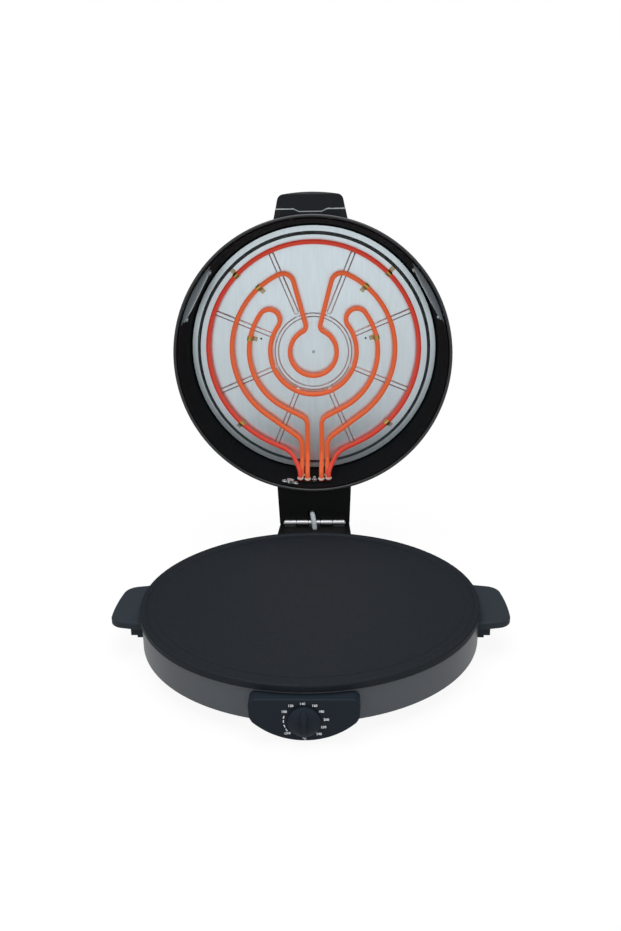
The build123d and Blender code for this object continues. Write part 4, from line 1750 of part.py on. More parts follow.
export_step(lid_hinge_leaf.part, "parts/lid_hinge_leaf.step")

with BuildPart() as lid_leaf_screws:
    for x in (-34, 34):
        add_screw(Plane((x, LEAF_FRONT + LEAF_T, LEAD_TOP_Z), z_dir=(0, 1, 0)), LEAF_T + ARM_WALL - 0.3)
lid_leaf_screws.part.label = "lid_leaf_screws"
export_step(lid_leaf_screws.part, "parts/lid_leaf_screws.step")
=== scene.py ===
"""Dressed scene of an electric roti maker with its heating lid open.

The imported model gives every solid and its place, in metres. This script gives each solid the
finish of the real part, adds the printed dial and the soft sleeved lead over the hinge, and
sets up a plain studio with a camera.
"""

from __future__ import annotations

import logging
import math
from dataclasses import dataclass, field
from enum import Enum
from typing import Any

import bpy
from mathutils import Matrix, Vector

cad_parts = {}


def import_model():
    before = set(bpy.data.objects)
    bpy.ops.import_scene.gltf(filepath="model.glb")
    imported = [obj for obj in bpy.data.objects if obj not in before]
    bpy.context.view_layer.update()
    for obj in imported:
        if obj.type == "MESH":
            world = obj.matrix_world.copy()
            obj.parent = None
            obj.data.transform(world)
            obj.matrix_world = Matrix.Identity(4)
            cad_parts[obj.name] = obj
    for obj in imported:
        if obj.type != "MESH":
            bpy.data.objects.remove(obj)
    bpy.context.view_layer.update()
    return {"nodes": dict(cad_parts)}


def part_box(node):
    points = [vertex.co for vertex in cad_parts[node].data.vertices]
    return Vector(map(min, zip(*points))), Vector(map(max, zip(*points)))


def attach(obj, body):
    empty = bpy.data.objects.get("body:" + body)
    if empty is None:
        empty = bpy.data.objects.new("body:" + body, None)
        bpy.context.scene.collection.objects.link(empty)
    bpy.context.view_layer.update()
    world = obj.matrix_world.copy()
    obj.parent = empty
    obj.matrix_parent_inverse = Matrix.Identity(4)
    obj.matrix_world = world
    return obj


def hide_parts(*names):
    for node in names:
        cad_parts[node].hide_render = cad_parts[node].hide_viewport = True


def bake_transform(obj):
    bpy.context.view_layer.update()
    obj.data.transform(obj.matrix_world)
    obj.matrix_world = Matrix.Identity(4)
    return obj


LOG = logging.getLogger("roti_maker")

MM = 0.001
BASE = "base"
FONT_TO_FIGURE = 1.36  # font size over the height of its figures
PURE_WHITE = (1.0, 1.0, 1.0, 1.0)
STREAK_SQUEEZE = 0.12  # streaks run up the sheet, about eight times as long as they are wide
THREAD_TO_WAVE = 6.3  # about 20 / pi: the wave texture repeats every two threads' widths
SMOOTH, FINE = 1.0, 3.0  # noise detail of a sprayed coat, and of grain and streaks
PAINTED_SHADING_FROM, PAINTED_SHADING_TO = 0.3, 0.7  # heights of a relief between which its painted shading turns from dark to light


# ---------------------------------------------------------------- colour and node helpers
def linear(hex_colour: str, alpha: float = 1.0) -> tuple[float, float, float, float]:
    """Turn an sRGB hex colour into linear values.

    Args:
        hex_colour: Six hex digits, such as "282f35".
        alpha: Opacity to carry along.

    Returns:
        Red, green, blue and alpha, linear.
    """
    parts = [int(hex_colour[i : i + 2], 16) / 255 for i in (0, 2, 4)]
    red, green, blue = (
        c / 12.92 if c <= 0.04045 else ((c + 0.055) / 1.055) ** 2.4 for c in parts
    )
    return red, green, blue, alpha


def add_node(
    tree: bpy.types.NodeTree,
    kind: str,
    settings: dict[str | int, Any] | None = None,
    links: dict[str | int, bpy.types.NodeSocket] | None = None,
) -> bpy.types.Node:
    """Add one shader node with its settings and its incoming links.

    Args:
        tree: The node tree that gets the node.
        kind: The node's type name.
        settings: Socket names to default values, or attribute names to values.
        links: Socket names or numbers to the sockets that feed them.

    Returns:
        The new node.
    """
    node = tree.nodes.new(kind)
    for name, value in (settings or {}).items():
        if isinstance(name, int) or name in node.inputs:
            node.inputs[name].default_value = value
        else:
            setattr(node, name, value)
    for name, source in (links or {}).items():
        tree.links.new(source, node.inputs[name])
    return node


# ---------------------------------------------------------------- object helpers
def add_piece(name: str, data: bpy.types.ID) -> bpy.types.Object:
    """Add an object to the scene.

    Args:
        name: The object's name.
        data: Its mesh, curve, lamp or camera.

    Returns:
        The new object.
    """
    piece = bpy.data.objects.new(name, data)
    bpy.context.scene.collection.objects.link(piece)
    return piece


def mesh_from(curve: bpy.types.Curve) -> bpy.types.Mesh:
    """Turn a curve or a text into a mesh.

    Args:
        curve: The curve, which stays in the file without an object.

    Returns:
        Its mesh.
    """
    shaper = add_piece(curve.name, curve)
    bpy.context.view_layer.update()
    graph = bpy.context.evaluated_depsgraph_get()
    mesh = bpy.data.meshes.new_from_object(shaper.evaluated_get(graph))
    bpy.data.objects.remove(shaper)
    return mesh


# ---------------------------------------------------------------- finishes
class Pattern(Enum):
    """Kinds of fine surface relief."""

    SPRAYED = "sprayed"  # the soft orange peel of a sprayed or powder coat
    MOULDED = "moulded"  # the even matt grain of a spark-eroded mould
    ROLLED = "rolled"  # short streaks left by rolling sheet
    BRAIDED = "braided"  # crossing threads


@dataclass(frozen=True)
class Relief:
    """Fine relief of a surface, sized in millimetres."""

    pattern: Pattern
    size_mm: float  # of a dot, a grain, a streak or a thread
    depth_mm: float
    painted_shading: float = 0.0  # painted shading: share by which its high parts are painted lighter and its low parts darker

    def height(self, tree: bpy.types.NodeTree) -> bpy.types.NodeSocket:
        """Build the pattern's height.

        Args:
            tree: The material's node tree.

        Returns:
            The socket that carries the height, from 0 to 1.
        """
        where = add_node(tree, "ShaderNodeTexCoord").outputs["Object"]
        if self.pattern is Pattern.BRAIDED:
            return self._threads(tree, where)
        if self.pattern is Pattern.ROLLED:
            squeeze = {"Scale": (1.0, 1.0, STREAK_SQUEEZE)}
            mapped = add_node(tree, "ShaderNodeMapping", squeeze, {"Vector": where})
            where = mapped.outputs["Vector"]
        detail = SMOOTH if self.pattern is Pattern.SPRAYED else FINE
        grain = {"Scale": 1 / (self.size_mm * MM), "Detail": detail}
        return add_node(tree, "ShaderNodeTexNoise", grain, {"Vector": where}).outputs["Fac"]

    def _threads(
        self, tree: bpy.types.NodeTree, where: bpy.types.NodeSocket
    ) -> bpy.types.NodeSocket:
        """Build two sets of threads that cross at a right angle.

        Args:
            tree: The material's node tree.
            where: The socket that carries the place on the surface.

        Returns:
            The socket that carries the height, from 0 to 1.
        """
        top = add_node(tree, "ShaderNodeMath", {"operation": "MAXIMUM"})
        for number, turn in enumerate((math.radians(45), math.radians(-45))):
            tilt = {"Rotation": (0.0, turn, turn)}
            tilted = add_node(tree, "ShaderNodeMapping", tilt, {"Vector": where})
            wave = add_node(
                tree,
                "ShaderNodeTexWave",
                {"Scale": 1 / (self.size_mm * MM * THREAD_TO_WAVE)},
                {"Vector": tilted.outputs["Vector"]},
            )
            tree.links.new(wave.outputs["Fac"], top.inputs[number])
        return top.outputs[0]


@dataclass(frozen=True)
class Finish:
    """Finish of a real material: its colour, gloss and fine relief."""

    name: str
    colour: str
    metallic: float = 0.0
    roughness: float = 0.5
    ior: float = 1.5
    specular: float = 0.5
    relief: Relief | None = None
    glow: float = 0.0
    glow_colour: str = "ffffff"
    transmission: float = 0.0

    def build(self) -> bpy.types.Material:
        """Make the Blender material, or return the one already made.

        Returns:
            The material of this finish.
        """
        made = bpy.data.materials.get(self.name)
        if made is not None:
            return made
        material = bpy.data.materials.new(self.name)
        material.use_nodes = True
        tree = material.node_tree
        surface = tree.nodes["Principled BSDF"]
        surface.inputs["Base Color"].default_value = linear(self.colour)
        surface.inputs["Metallic"].default_value = self.metallic
        surface.inputs["Roughness"].default_value = self.roughness
        if not self.metallic:
            surface.inputs["IOR"].default_value = self.ior
        surface.inputs["Specular IOR Level"].default_value = self.specular
        surface.inputs["Transmission Weight"].default_value = self.transmission
        if self.glow:
            surface.inputs["Emission Color"].default_value = linear(self.glow_colour)
            surface.inputs["Emission Strength"].default_value = self.glow
        if self.relief is not None:
            self._add_relief(self.relief, tree, surface)
        return material

    def _add_relief(
        self, relief: Relief, tree: bpy.types.NodeTree, surface: bpy.types.Node
    ) -> None:
        """Feed a relief into the surface's normal, and, where it carries painted shading, into its
        colour.

        Args:
            relief: The relief.
            tree: The material's node tree.
            surface: Its Principled node.
        """
        height = relief.height(tree)
        bump = add_node(
            tree,
            "ShaderNodeBump",
            {"Strength": 1.0, "Distance": relief.depth_mm * MM},
            {"Height": height},
        )
        tree.links.new(bump.outputs["Normal"], surface.inputs["Normal"])
        if relief.painted_shading:
            # Painted shading: the relief's low parts get a darker base colour and its high parts a
            # lighter one, on top of the bump's own shading.
            full = linear(self.colour)
            dark = tuple(c * (1 - relief.painted_shading) for c in full[:3]) + (1.0,)
            bright = tuple(min(1.0, c * (1 + relief.painted_shading)) for c in full[:3]) + (1.0,)
            ramp = add_node(tree, "ShaderNodeValToRGB", links={"Fac": height})
            stops = ((PAINTED_SHADING_FROM, dark), (PAINTED_SHADING_TO, bright))
            for element, (position, colour) in zip(ramp.color_ramp.elements, stops):
                element.position = position
                element.color = colour
            tree.links.new(ramp.outputs["Color"], surface.inputs["Base Color"])


# Non-stick PTFE sprayed on die-cast aluminium: blue-black, low sheen. The spray's dots are
# drawn about 2 mm across, coarser than they are, so that they show.
# The dots' high parts are painted lighter and their low parts darker, as painted shading.
NON_STICK = Finish(
    "Sprayed PTFE non-stick coating",
    "151b21",
    roughness=0.62,
    ior=1.38,
    specular=0.25,
    relief=Relief(Pattern.SPRAYED, 2.2, 0.12, 0.14),
)
# Stove enamel on rolled steel: mid grey with a soft sheen that follows the curve.
GREY_ENAMEL = Finish(
    "Grey stove enamel on steel",
    "494d52",
    roughness=0.36,
    specular=0.25,
    relief=Relief(Pattern.SPRAYED, 1.6, 0.01),
)
# Black stove enamel: near-black with a broad reflection along the rolled rim.
BLACK_ENAMEL = Finish("Black stove enamel on steel", "24272a", roughness=0.32, specular=0.42)
# Heat-resisting black paint inside the lid: duller than the outside.
BLACK_HEAT_PAINT = Finish("Black heat-resisting paint", "0b0f11", roughness=0.65, specular=0.04)
# The same paint in grey on the window frames: a flat mid grey beside the black.
GREY_HEAT_PAINT = Finish("Grey heat-resisting paint", "535b60", roughness=0.5)
# Brushed aluminium strip in the handle's seam: a light, soft-edged line.
SATIN_TRIM = Finish("Satin aluminium trim", "92989b", metallic=1.0, roughness=0.4)
# Rolled and pressed aluminium: bright grey, blurred reflections, faint rolling streaks. Its
# oxide film is the share that isn't metallic, and keeps the folds from turning black.
# Its streaks carry a faint painted shading, darker in their low parts and lighter on their high
# parts.
BRIGHT_ALUMINIUM = Finish(
    "Rolled bright aluminium",
    "d8e6ec",
    metallic=0.86,
    roughness=0.28,
    relief=Relief(Pattern.ROLLED, 5.0, 0.01, 0.04),
)
# Mill-finish sheet inside the base: a plain grey metal, rarely seen.
PLAIN_ALUMINIUM = Finish("Mill-finish aluminium sheet", "b9bcbe", metallic=1.0, roughness=0.45)
# Phenolic moulding: blue-black, satin, with the fine grain of its mould.
BAKELITE = Finish(
    "Moulded black phenolic",
    "1b222a",
    roughness=0.45,
    specular=0.1,
    relief=Relief(Pattern.MOULDED, 0.8, 0.02),
)
# The same moulding in charcoal, a little lighter and duller, for the side handles.
GREY_BAKELITE = Finish(
    "Moulded charcoal phenolic",
    "2a3036",
    roughness=0.5,
    specular=0.08,
    relief=Relief(Pattern.MOULDED, 0.8, 0.02),
)
# Polished mouldings of the lid handle: dark, with clear soft reflections.
SHINY_BAKELITE = Finish("Polished black phenolic", "101317", roughness=0.28, specular=0.14)
# Jet-black moulding of the hinge: hardly any shading.
JET_BAKELITE = Finish("Moulded jet phenolic", "0a0b0b", roughness=0.5, specular=0.12)
# Zinc plating: bright, cool metal of fasteners, barrel and brackets.
ZINC_STEEL = Finish("Bright zinc-plated steel", "a9abad", metallic=1.0, roughness=0.4)
# Nickel plating of the bolt and the limit thermostat's can: bright specks in the black liner.
BRIGHT_NICKEL = Finish("Bright nickel plating", "d8dadb", metallic=1.0, roughness=0.25)
# Black-oxide screws in the black mouldings: dark metal that disappears into them.
BLACK_STEEL = Finish("Black-oxide steel", "1c1d1e", metallic=1.0, roughness=0.5)
# Bare steel of the turned shafts: a darker metal than the plating.
BARE_STEEL = Finish("Bare drawn steel", "9b9d9f", metallic=1.0, roughness=0.35)
# Brass of clips and tabs: yellow metal against the orange tubes.
BRASS = Finish("Stamped brass", "b6964c", metallic=1.0, roughness=0.32)
# Steatite of insulators and thermostats: off-white glazed ceramic.
STEATITE = Finish("Glazed steatite ceramic", "e4e0d6", roughness=0.3)
# Rubber of feet and gland: matt near-black.
RUBBER = Finish("Moulded black rubber", "1b1c1d", roughness=0.75)
# Smoked glass of the lid's windows: a grey pane that catches light.
SMOKED_GLASS = Finish(
    "Smoked toughened glass", "80898d", roughness=0.1, ior=1.52, transmission=0.35
)
# Varnished glass-fibre braid: pale grey with crossing threads, painted darker between the threads
# and lighter on their crowns as shading.
GLASS_FIBRE = Finish(
    "Varnished glass-fibre sleeve",
    "a5aeb3",
    roughness=0.6,
    relief=Relief(Pattern.BRAIDED, 0.9, 0.25, 0.12),
)
# Red-brown silicone of the leads inside the base.
LEAD_RUBBER = Finish("Silicone-insulated lead", "9c4630", roughness=0.5)
# Steel heater sheath at red heat: it gives part of its own light and still takes shading.
RED_HOT = Finish(
    "Red-hot steel heater sheath", "96301f", roughness=0.6, glow=0.4, glow_colour="e8402e"
)
# The two inner heaters run hotter, towards orange.
ORANGE_HOT = Finish(
    "Orange-hot steel heater sheath", "a34622", roughness=0.6, glow=0.42, glow_colour="ee6632"
)
# Heater under the plate, cold from outside: dull annealed steel.
COLD_SHEATH = Finish("Annealed steel heater sheath", "6e6f70", metallic=1.0, roughness=0.45)
# White ink of the dial: matt, a little off pure white.
WHITE_INK = Finish("White pad-printed ink", "e6e9ec", roughness=0.6)
# Painted board of the studio's floor: white without a sheen.
FLOOR_PAINT = Finish("Matt white studio floor", "f2f2f2", roughness=0.9, specular=0.1)


# ---------------------------------------------------------------- base class of the sub-assemblies
@dataclass
class SubAssembly:
    """A group of nodes of one rigid body, with the finish of each."""

    nodes: dict[str, bpy.types.Object]
    finishes: dict[Finish, tuple[str, ...]] = field(default_factory=dict)

    def dress(self) -> None:
        """Give each node of the group its finish."""
        for finish, names in self.finishes.items():
            material = finish.build()
            for name in names:
                for slot in self.nodes[name].material_slots:
                    slot.material = material
                LOG.info("%s: %s", name, finish.name)

    def build(self) -> None:
        """Build what the group adds to its solids; most add nothing."""


@dataclass
class BakingBase(SubAssembly):
    """Baking plate, its housing, heater and underside."""

    finishes: dict[Finish, tuple[str, ...]] = field(
        default_factory=lambda: {
            NON_STICK: ("baking_plate",),
            GREY_ENAMEL: ("base_housing",),
            BLACK_ENAMEL: ("bottom_cover",),
            COLD_SHEATH: ("lower_heater",),
            PLAIN_ALUMINIUM: ("heat_shield",),
            GREY_BAKELITE: ("left_side_handle", "right_side_handle"),
            RUBBER: ("rubber_feet", "cord_gland"),
            STEATITE: ("terminal_block",),
            LEAD_RUBBER: ("base_wiring",),
            ZINC_STEEL: (
                "lower_heater_clamps",
                "lower_clamp_screws",
                "plate_spacers",
                "plate_screws",
                "bottom_cover_screws",
                "foot_screws",
                "side_handle_screws",
            ),
        }
    )


@dataclass
class HingeParts(SubAssembly):
    """Hinge housing, hinge arm box, leaves and pin."""

    finishes: dict[Finish, tuple[str, ...]] = field(
        default_factory=lambda: {
            JET_BAKELITE: ("hinge_housing", "lid_neck", "neck_cover", "loom_clamp"),
            ZINC_STEEL: (
                "base_hinge_leaf",
                "lid_hinge_leaf",
                "hinge_housing_screws",
                "base_leaf_screws",
                "lid_neck_screws",
            ),
            BLACK_STEEL: ("lid_leaf_screws", "neck_cover_screws"),
            BARE_STEEL: ("hinge_pin",),
        }
    )


@dataclass
class HeatingLid(SubAssembly):
    """Shell, liner, reflector, heaters, windows and handle of the lid."""

    finishes: dict[Finish, tuple[str, ...]] = field(
        default_factory=lambda: {
            BLACK_ENAMEL: ("lid_shell",),
            BLACK_HEAT_PAINT: ("lid_liner", "lid_terminal_plate"),
            BRIGHT_ALUMINIUM: ("reflector",),
            RED_HOT: ("outer_heater",),
            ORANGE_HOT: ("middle_heater", "inner_heater"),
            BRASS: ("lid_heater_clips", "heater_tabs"),
            STEATITE: ("heater_insulators",),
            SHINY_BAKELITE: ("lid_handle_grip", "lid_handle_base"),
            GREY_HEAT_PAINT: ("window_frames",),
            BRIGHT_NICKEL: ("terminal_plate_bolt", "lid_thermal_cutout", "cutout_screws"),
            SATIN_TRIM: ("lid_handle_trim",),
            SMOKED_GLASS: ("window_panes",),
            ZINC_STEEL: (
                "reflector_screws",
                "reflector_spacer",
                "window_screws",
                "lid_handle_screws",
            ),
        }
    )


# ---------------------------------------------------------------- control panel with its dial
@dataclass
class ControlPanel(SubAssembly):
    """Front panel with the printed dial, the knob and the thermostat."""

    finishes: dict[Finish, tuple[str, ...]] = field(
        default_factory=lambda: {
            BAKELITE: ("control_panel", "knob"),
            STEATITE: ("thermostat_body",),
            BRASS: ("thermostat_sensor",),
            BARE_STEEL: ("thermostat_shaft",),
            ZINC_STEEL: ("control_panel_screws", "thermostat_screws"),
        }
    )
    figure_mm: float = 2.7  # height of the figures
    weight_mm: float = 0.07  # how much their strokes are fattened on each side
    lift_mm: float = 0.03  # the print's middle in front of the panel's face
    print_mm: float = 0.02  # thickness of the print
    outline_steps: int = 3  # straight parts in each curve of a figure's outline
    dash_mm: tuple[float, float] = (0.9, 3.0)  # width and length
    dash_ring_mm: float = 20.2  # distance of the dashes from the knob's axis
    dash_angles: tuple[float, ...] = (-121.0, -107.0, -92.0, -79.0)  # clockwise from the top
    # figure, degrees clockwise from the top, distance of its middle from the knob's axis
    figures: tuple[tuple[str, float, float], ...] = (
        ("OFF", -131.0, 21.8),
        ("100", -62.6, 21.8),
        ("120", -37.5, 21.0),
        ("140", -4.3, 18.9),
        ("160", 31.7, 19.8),
        ("180", 58.3, 19.7),
        ("200", 86.5, 21.6),
        ("220", 110.4, 20.1),
        ("240", 136.0, 20.6),
        ("°C", 180.0, 20.6),
    )

    def build(self) -> None:
        """Print the dial's figures and dashes on the panel's face."""
        panel_low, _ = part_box("control_panel")
        knob_low, knob_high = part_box("knob")
        centre = (knob_low + knob_high) / 2
        face = Vector((centre.x, panel_low.y - self.lift_mm * MM, centre.z))
        for text, angle, ring in self.figures:
            self._figure(text, face + self._around(angle, ring))
        for angle in self.dash_angles:
            self._dash(face + self._around(angle, self.dash_ring_mm), angle)
        LOG.info("dial: %d figures, %d dashes", len(self.figures), len(self.dash_angles))

    @staticmethod
    def _around(angle: float, ring_mm: float) -> Vector:
        """Place on the dial, clockwise from the top.

        Args:
            angle: Degrees clockwise from the top.
            ring_mm: Distance from the knob's axis.

        Returns:
            The offset from the axis, in metres.
        """
        turn = math.radians(angle)
        return Vector((math.sin(turn), 0.0, math.cos(turn))) * ring_mm * MM

    def _finish_print(self, piece: bpy.types.Object) -> None:
        """Ink a printed piece and fix it to the base.

        Args:
            piece: The printed piece.
        """
        piece.data.materials.append(WHITE_INK.build())
        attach(piece, BASE)

    def _figure(self, text: str, middle: Vector) -> None:
        """Print one figure as a thin mesh, standing on the panel's face.

        Args:
            text: The characters to print.
            middle: The figure's middle on the face.
        """
        curve = bpy.data.curves.new(f"dial_{text}", "FONT")
        curve.body = text
        curve.size = self.figure_mm * MM * FONT_TO_FIGURE
        curve.align_x = "CENTER"
        curve.align_y = "CENTER"
        curve.offset = self.weight_mm * MM
        curve.extrude = self.print_mm * MM / 2
        curve.resolution_u = self.outline_steps
        mesh = mesh_from(curve)
        mesh.transform(Matrix.Translation(middle) @ Matrix.Rotation(math.pi / 2, 4, "X"))
        self._finish_print(add_piece(f"dial_{text.strip('°').lower()}", mesh))

    def _dash(self, middle: Vector, angle: float) -> None:
        """Print one dash of the run between OFF and the first figure.

        Args:
            middle: The dash's middle on the face.
            angle: Its place on the dial, which it lies along.
        """
        half_width, half_length = (v * MM / 2 for v in self.dash_mm)
        lean = math.radians(angle)
        along = Vector((math.cos(lean), 0.0, -math.sin(lean))) * half_length
        across = Vector((math.sin(lean), 0.0, math.cos(lean))) * half_width
        signs = ((-1, -1), (1, -1), (1, 1), (-1, 1))
        corners = [tuple(middle + along * a + across * b) for a, b in signs]
        mesh = bpy.data.meshes.new("dial_dash")
        mesh.from_pydata(corners, [], [(0, 1, 2, 3)])
        self._finish_print(add_piece(f"dial_dash_{int(-angle)}", mesh))


# ---------------------------------------------------------------- sleeved lead over the hinge
@dataclass
class SleevedLead:
    """Braided sleeve that carries the lid's wires from the base into the hinge arm."""

    radius_mm: float = 3.6
    # route from inside the arm to inside the base, measured from the hinge pin's middle
    route_mm: tuple[tuple[float, float, float], ...] = (
        (-4.0, 20.0, 12.3),
        (-3.4, 2.2, 11.8),
        (0.5, -11.4, 2.4),
        (0.5, -11.4, -19.0),
    )
    # where on the lead the base's part ends, and where the lid's part starts
    bend_start_mm: tuple[float, float, float] = (0.5, -11.4, -4.0)
    bend_end_mm: tuple[float, float, float] = (-4.0, 6.0, 12.0)
    steps: int = 20  # rings between two points of the route
    facets: int = 6  # roundness of each ring

    def build(self) -> None:
        """Run the sleeve along its route and hide the model's loom in its place."""
        pin_low, pin_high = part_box("hinge_pin")
        pin = (pin_low + pin_high) / 2
        curve = bpy.data.curves.new("sleeved_lead", "CURVE")
        curve.dimensions = "3D"
        curve.resolution_u = self.steps
        spline = curve.splines.new("NURBS")
        spline.points.add(len(self.route_mm) - 1)
        for point, spot in zip(spline.points, self.route_mm):
            point.co = (*(pin + Vector(spot) * MM), 1.0)
        spline.order_u = 3
        spline.use_endpoint_u = True
        curve.bevel_depth = self.radius_mm * MM
        curve.bevel_resolution = self.facets
        curve.use_fill_caps = True
        mesh = mesh_from(curve)
        mesh.shade_smooth()
        mesh.materials.clear()
        mesh.materials.append(GLASS_FIBRE.build())
        piece = add_piece("sleeved_lead", mesh)
        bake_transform(piece)
        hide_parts("hinge_loom")
        LOG.info("sleeved lead: %d faces", len(mesh.polygons))


# ---------------------------------------------------------------- studio
@dataclass(frozen=True)
class SoftBox:
    """A square lamp that throws soft light."""

    name: str
    spot: tuple[float, float, float]
    aim: tuple[float, float, float]
    side_m: float
    power_w: float

    def hang(self) -> None:
        """Hang the lamp at its spot, turned to its aim."""
        lamp = bpy.data.lights.new(self.name, "AREA")
        lamp.shape = "SQUARE"
        lamp.size = self.side_m
        lamp.energy = self.power_w
        box = add_piece(self.name, lamp)
        box.location = self.spot
        beam = Vector(self.aim) - Vector(self.spot)
        box.rotation_euler = beam.to_track_quat("-Z", "Y").to_euler()
        LOG.info("%s: %g W", self.name, self.power_w)


@dataclass
class Studio:
    """Pale floor, soft lamps, white surroundings and the camera."""

    plate_centre: Vector
    floor_m: float = 6.0
    floor_white: float = 0.92  # share of pure white that the floor has beside the object
    floor_mirrored: float = 0.7  # how bright reflections see the floor, where white is 1
    shadow_m: tuple[float, float] = (0.4, 0.8)  # where the shadow starts to fade, and is gone
    sky: tuple[float, float] = (0.1, 0.85)  # strength at the horizon and overhead
    mirrored: tuple[float, float] = (0.12, 1.0)  # what reflections see behind and in front
    mirrored_front: float = -0.7  # the Y of a direction from which the front is at full strength
    soft_boxes: tuple[SoftBox, ...] = (
        SoftBox("overhead_box", (0.0, -0.1, 2.2), (0.0, 0.05, 0.1), 2.0, 46.0),
        SoftBox("left_box", (-1.7, -1.3, 1.0), (0.0, 0.0, 0.15), 1.3, 6.0),
        SoftBox("right_box", (1.7, -1.2, 0.9), (0.0, 0.0, 0.15), 1.0, 4.0),
    )
    focal_px: float = 834.13
    frame_px: tuple[int, int] = (621, 931)
    sensor_mm: float = 36.0
    azimuth: float = 0.033  # radians to the right of straight in front
    elevation: float = 0.300  # radians above the horizon
    distance: float = 0.95346  # metres from the target
    roll: float = -0.016  # radians
    target: tuple[float, float, float] = (0.003233, 0.0, 0.16144)  # from the plate's centre
    nearest_m: float = 0.01  # what is closer to the lens than this isn't drawn

    def build(self) -> None:
        """Set up the floor, the world, the lamps and the camera."""
        self._floor()
        self._world()
        for box in self.soft_boxes:
            box.hang()
        self._camera()

    def _floor(self) -> None:
        """Lay a pale floor at the height of the feet."""
        half = self.floor_m / 2
        corners = [(-half, -half, 0), (half, -half, 0), (half, half, 0), (-half, half, 0)]
        mesh = bpy.data.meshes.new("studio_floor")
        mesh.from_pydata(corners, [], [(0, 1, 2, 3)])
        mesh.materials.append(self._floor_material())
        add_piece("studio_floor", mesh)

    def _floor_material(self) -> bpy.types.Material:
        """Paint the floor so that the camera and reflections see it evenly bright.

        The camera sees white and reflections see a light grey. Beside the object a little of the
        lit paint stays in both, and with it the soft shadow. Other rays see the paint alone.

        Returns:
            The floor's material.
        """
        material = FLOOR_PAINT.build()
        tree = material.node_tree
        rays = add_node(tree, "ShaderNodeLightPath")
        seen = add_node(
            tree,
            "ShaderNodeMath",
            {"operation": "ADD"},
            {0: rays.outputs["Is Glossy Ray"], 1: rays.outputs["Is Camera Ray"]},
        )
        strength = add_node(
            tree,
            "ShaderNodeMath",
            {"operation": "MULTIPLY_ADD", 1: self.floor_mirrored - 1.0, 2: 1.0},
            {0: rays.outputs["Is Glossy Ray"]},
        )
        place = add_node(tree, "ShaderNodeNewGeometry")
        away = add_node(
            tree,
            "ShaderNodeVectorMath",
            {"operation": "LENGTH"},
            {0: place.outputs["Position"]},
        )
        fade = add_node(
            tree,
            "ShaderNodeMapRange",
            {
                "From Min": self.shadow_m[0],
                "From Max": self.shadow_m[1],
                "To Min": self.floor_white,
                "To Max": 1.0,
            },
            {"Value": away.outputs["Value"]},
        )
        share = add_node(
            tree,
            "ShaderNodeMath",
            {"operation": "MULTIPLY"},
            {0: seen.outputs[0], 1: fade.outputs[0]},
        )
        glow = add_node(
            tree,
            "ShaderNodeEmission",
            {"Color": PURE_WHITE},
            {"Strength": strength.outputs[0]},
        )
        paint = tree.nodes["Principled BSDF"]
        mixed = add_node(
            tree,
            "ShaderNodeMixShader",
            links={0: share.outputs[0], 1: paint.outputs[0], 2: glow.outputs[0]},
        )
        tree.links.new(mixed.outputs[0], tree.nodes["Material Output"].inputs["Surface"])
        return material

    def _world(self) -> None:
        """Surround the object with a white room.

        The camera sees pure white, also through glass. Reflections see a room that is white in
        front of the object and dark behind it. Other rays are lit by a sky that is brightest
        overhead.
        """
        world = bpy.data.worlds.new("studio")
        world.use_nodes = True
        tree = world.node_tree
        rays = add_node(tree, "ShaderNodeLightPath")
        direct = add_node(
            tree,
            "ShaderNodeMath",
            {"operation": "MAXIMUM"},
            {0: rays.outputs["Is Camera Ray"], 1: rays.outputs["Is Transmission Ray"]},
        )
        aim = add_node(tree, "ShaderNodeTexCoord")
        direction = add_node(
            tree, "ShaderNodeSeparateXYZ", links={"Vector": aim.outputs["Generated"]}
        )
        sky = add_node(
            tree,
            "ShaderNodeMapRange",
            {"From Min": 0.0, "From Max": 1.0, "To Min": self.sky[0], "To Max": self.sky[1]},
            {"Value": direction.outputs["Z"]},
        )
        front = add_node(
            tree,
            "ShaderNodeMapRange",
            {
                "From Min": 0.0,
                "From Max": self.mirrored_front,
                "To Min": self.mirrored[0],
                "To Max": self.mirrored[1],
            },
            {"Value": direction.outputs["Y"]},
        )
        level = add_node(
            tree,
            "ShaderNodeMix",
            links={0: rays.outputs["Is Glossy Ray"], 2: sky.outputs[0], 3: front.outputs[0]},
        )
        soft = add_node(
            tree,
            "ShaderNodeBackground",
            {"Color": PURE_WHITE},
            {"Strength": level.outputs[0]},
        )
        white = add_node(tree, "ShaderNodeBackground", {"Color": PURE_WHITE, "Strength": 1.0})
        mixed = add_node(
            tree,
            "ShaderNodeMixShader",
            links={0: direct.outputs[0], 1: soft.outputs[0], 2: white.outputs[0]},
        )
        tree.links.new(mixed.outputs[0], tree.nodes["World Output"].inputs["Surface"])
        bpy.context.scene.world = world

    def _camera(self) -> None:
        """Place the camera at its angle and distance, aimed at the target."""
        away = Vector(
            (
                math.sin(self.azimuth) * math.cos(self.elevation),
                -math.cos(self.azimuth) * math.cos(self.elevation),
                math.sin(self.elevation),
            )
        )
        spot = self.plate_centre + Vector(self.target) + away * self.distance
        right = (-away).cross(Vector((0, 0, 1))).normalized()
        up = right.cross(-away)
        rolled_right = right * math.cos(self.roll) + up * math.sin(self.roll)
        rolled_up = up * math.cos(self.roll) - right * math.sin(self.roll)
        lens = bpy.data.cameras.new("camera")
        lens.sensor_width = self.sensor_mm
        lens.lens = self.focal_px * self.sensor_mm / max(self.frame_px)
        lens.clip_start = self.nearest_m
        camera = add_piece("camera", lens)
        turned = Matrix((rolled_right, rolled_up, away)).transposed().to_4x4()
        camera.matrix_world = Matrix.Translation(spot) @ turned
        bpy.context.scene.camera = camera
        LOG.info("camera: %.2f m from its target", self.distance)


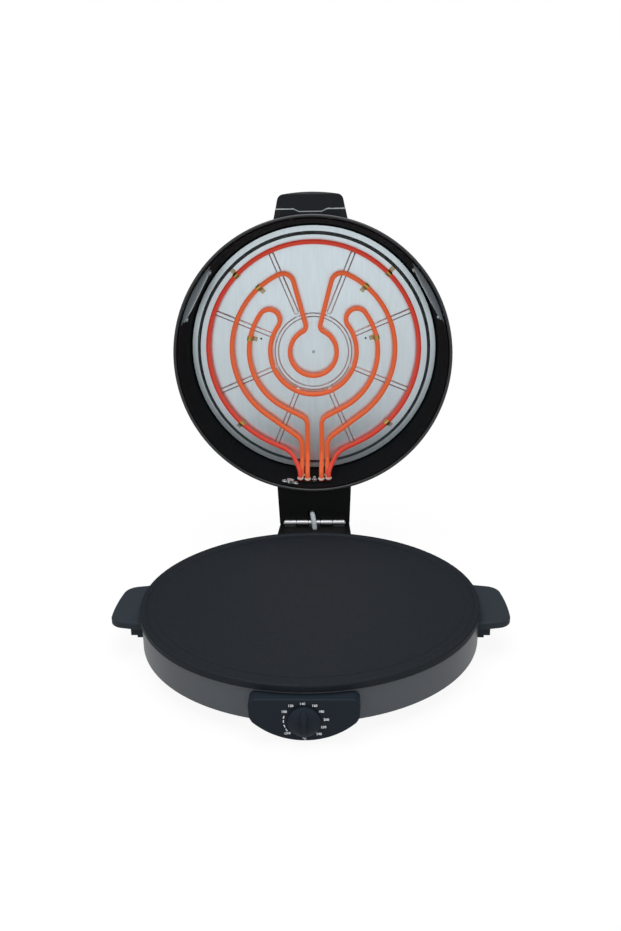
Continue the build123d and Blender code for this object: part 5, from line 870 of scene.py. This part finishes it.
def main() -> None:
    """Load the solids, dress them, add what is drawn only here, and set up the studio."""
    logging.basicConfig(level=logging.INFO, format="%(name)s: %(message)s")
    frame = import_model()
    bpy.context.scene.view_settings.view_transform = "Standard"
    nodes = frame["nodes"]
    for group in (BakingBase(nodes), HingeParts(nodes), HeatingLid(nodes), ControlPanel(nodes)):
        group.dress()
        group.build()
    SleevedLead().build()
    plate_low, plate_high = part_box("baking_plate")
    centre = (plate_low + plate_high) / 2
    Studio(Vector((centre.x, centre.y, plate_high.z))).build()


if __name__ == "__main__":
    main()
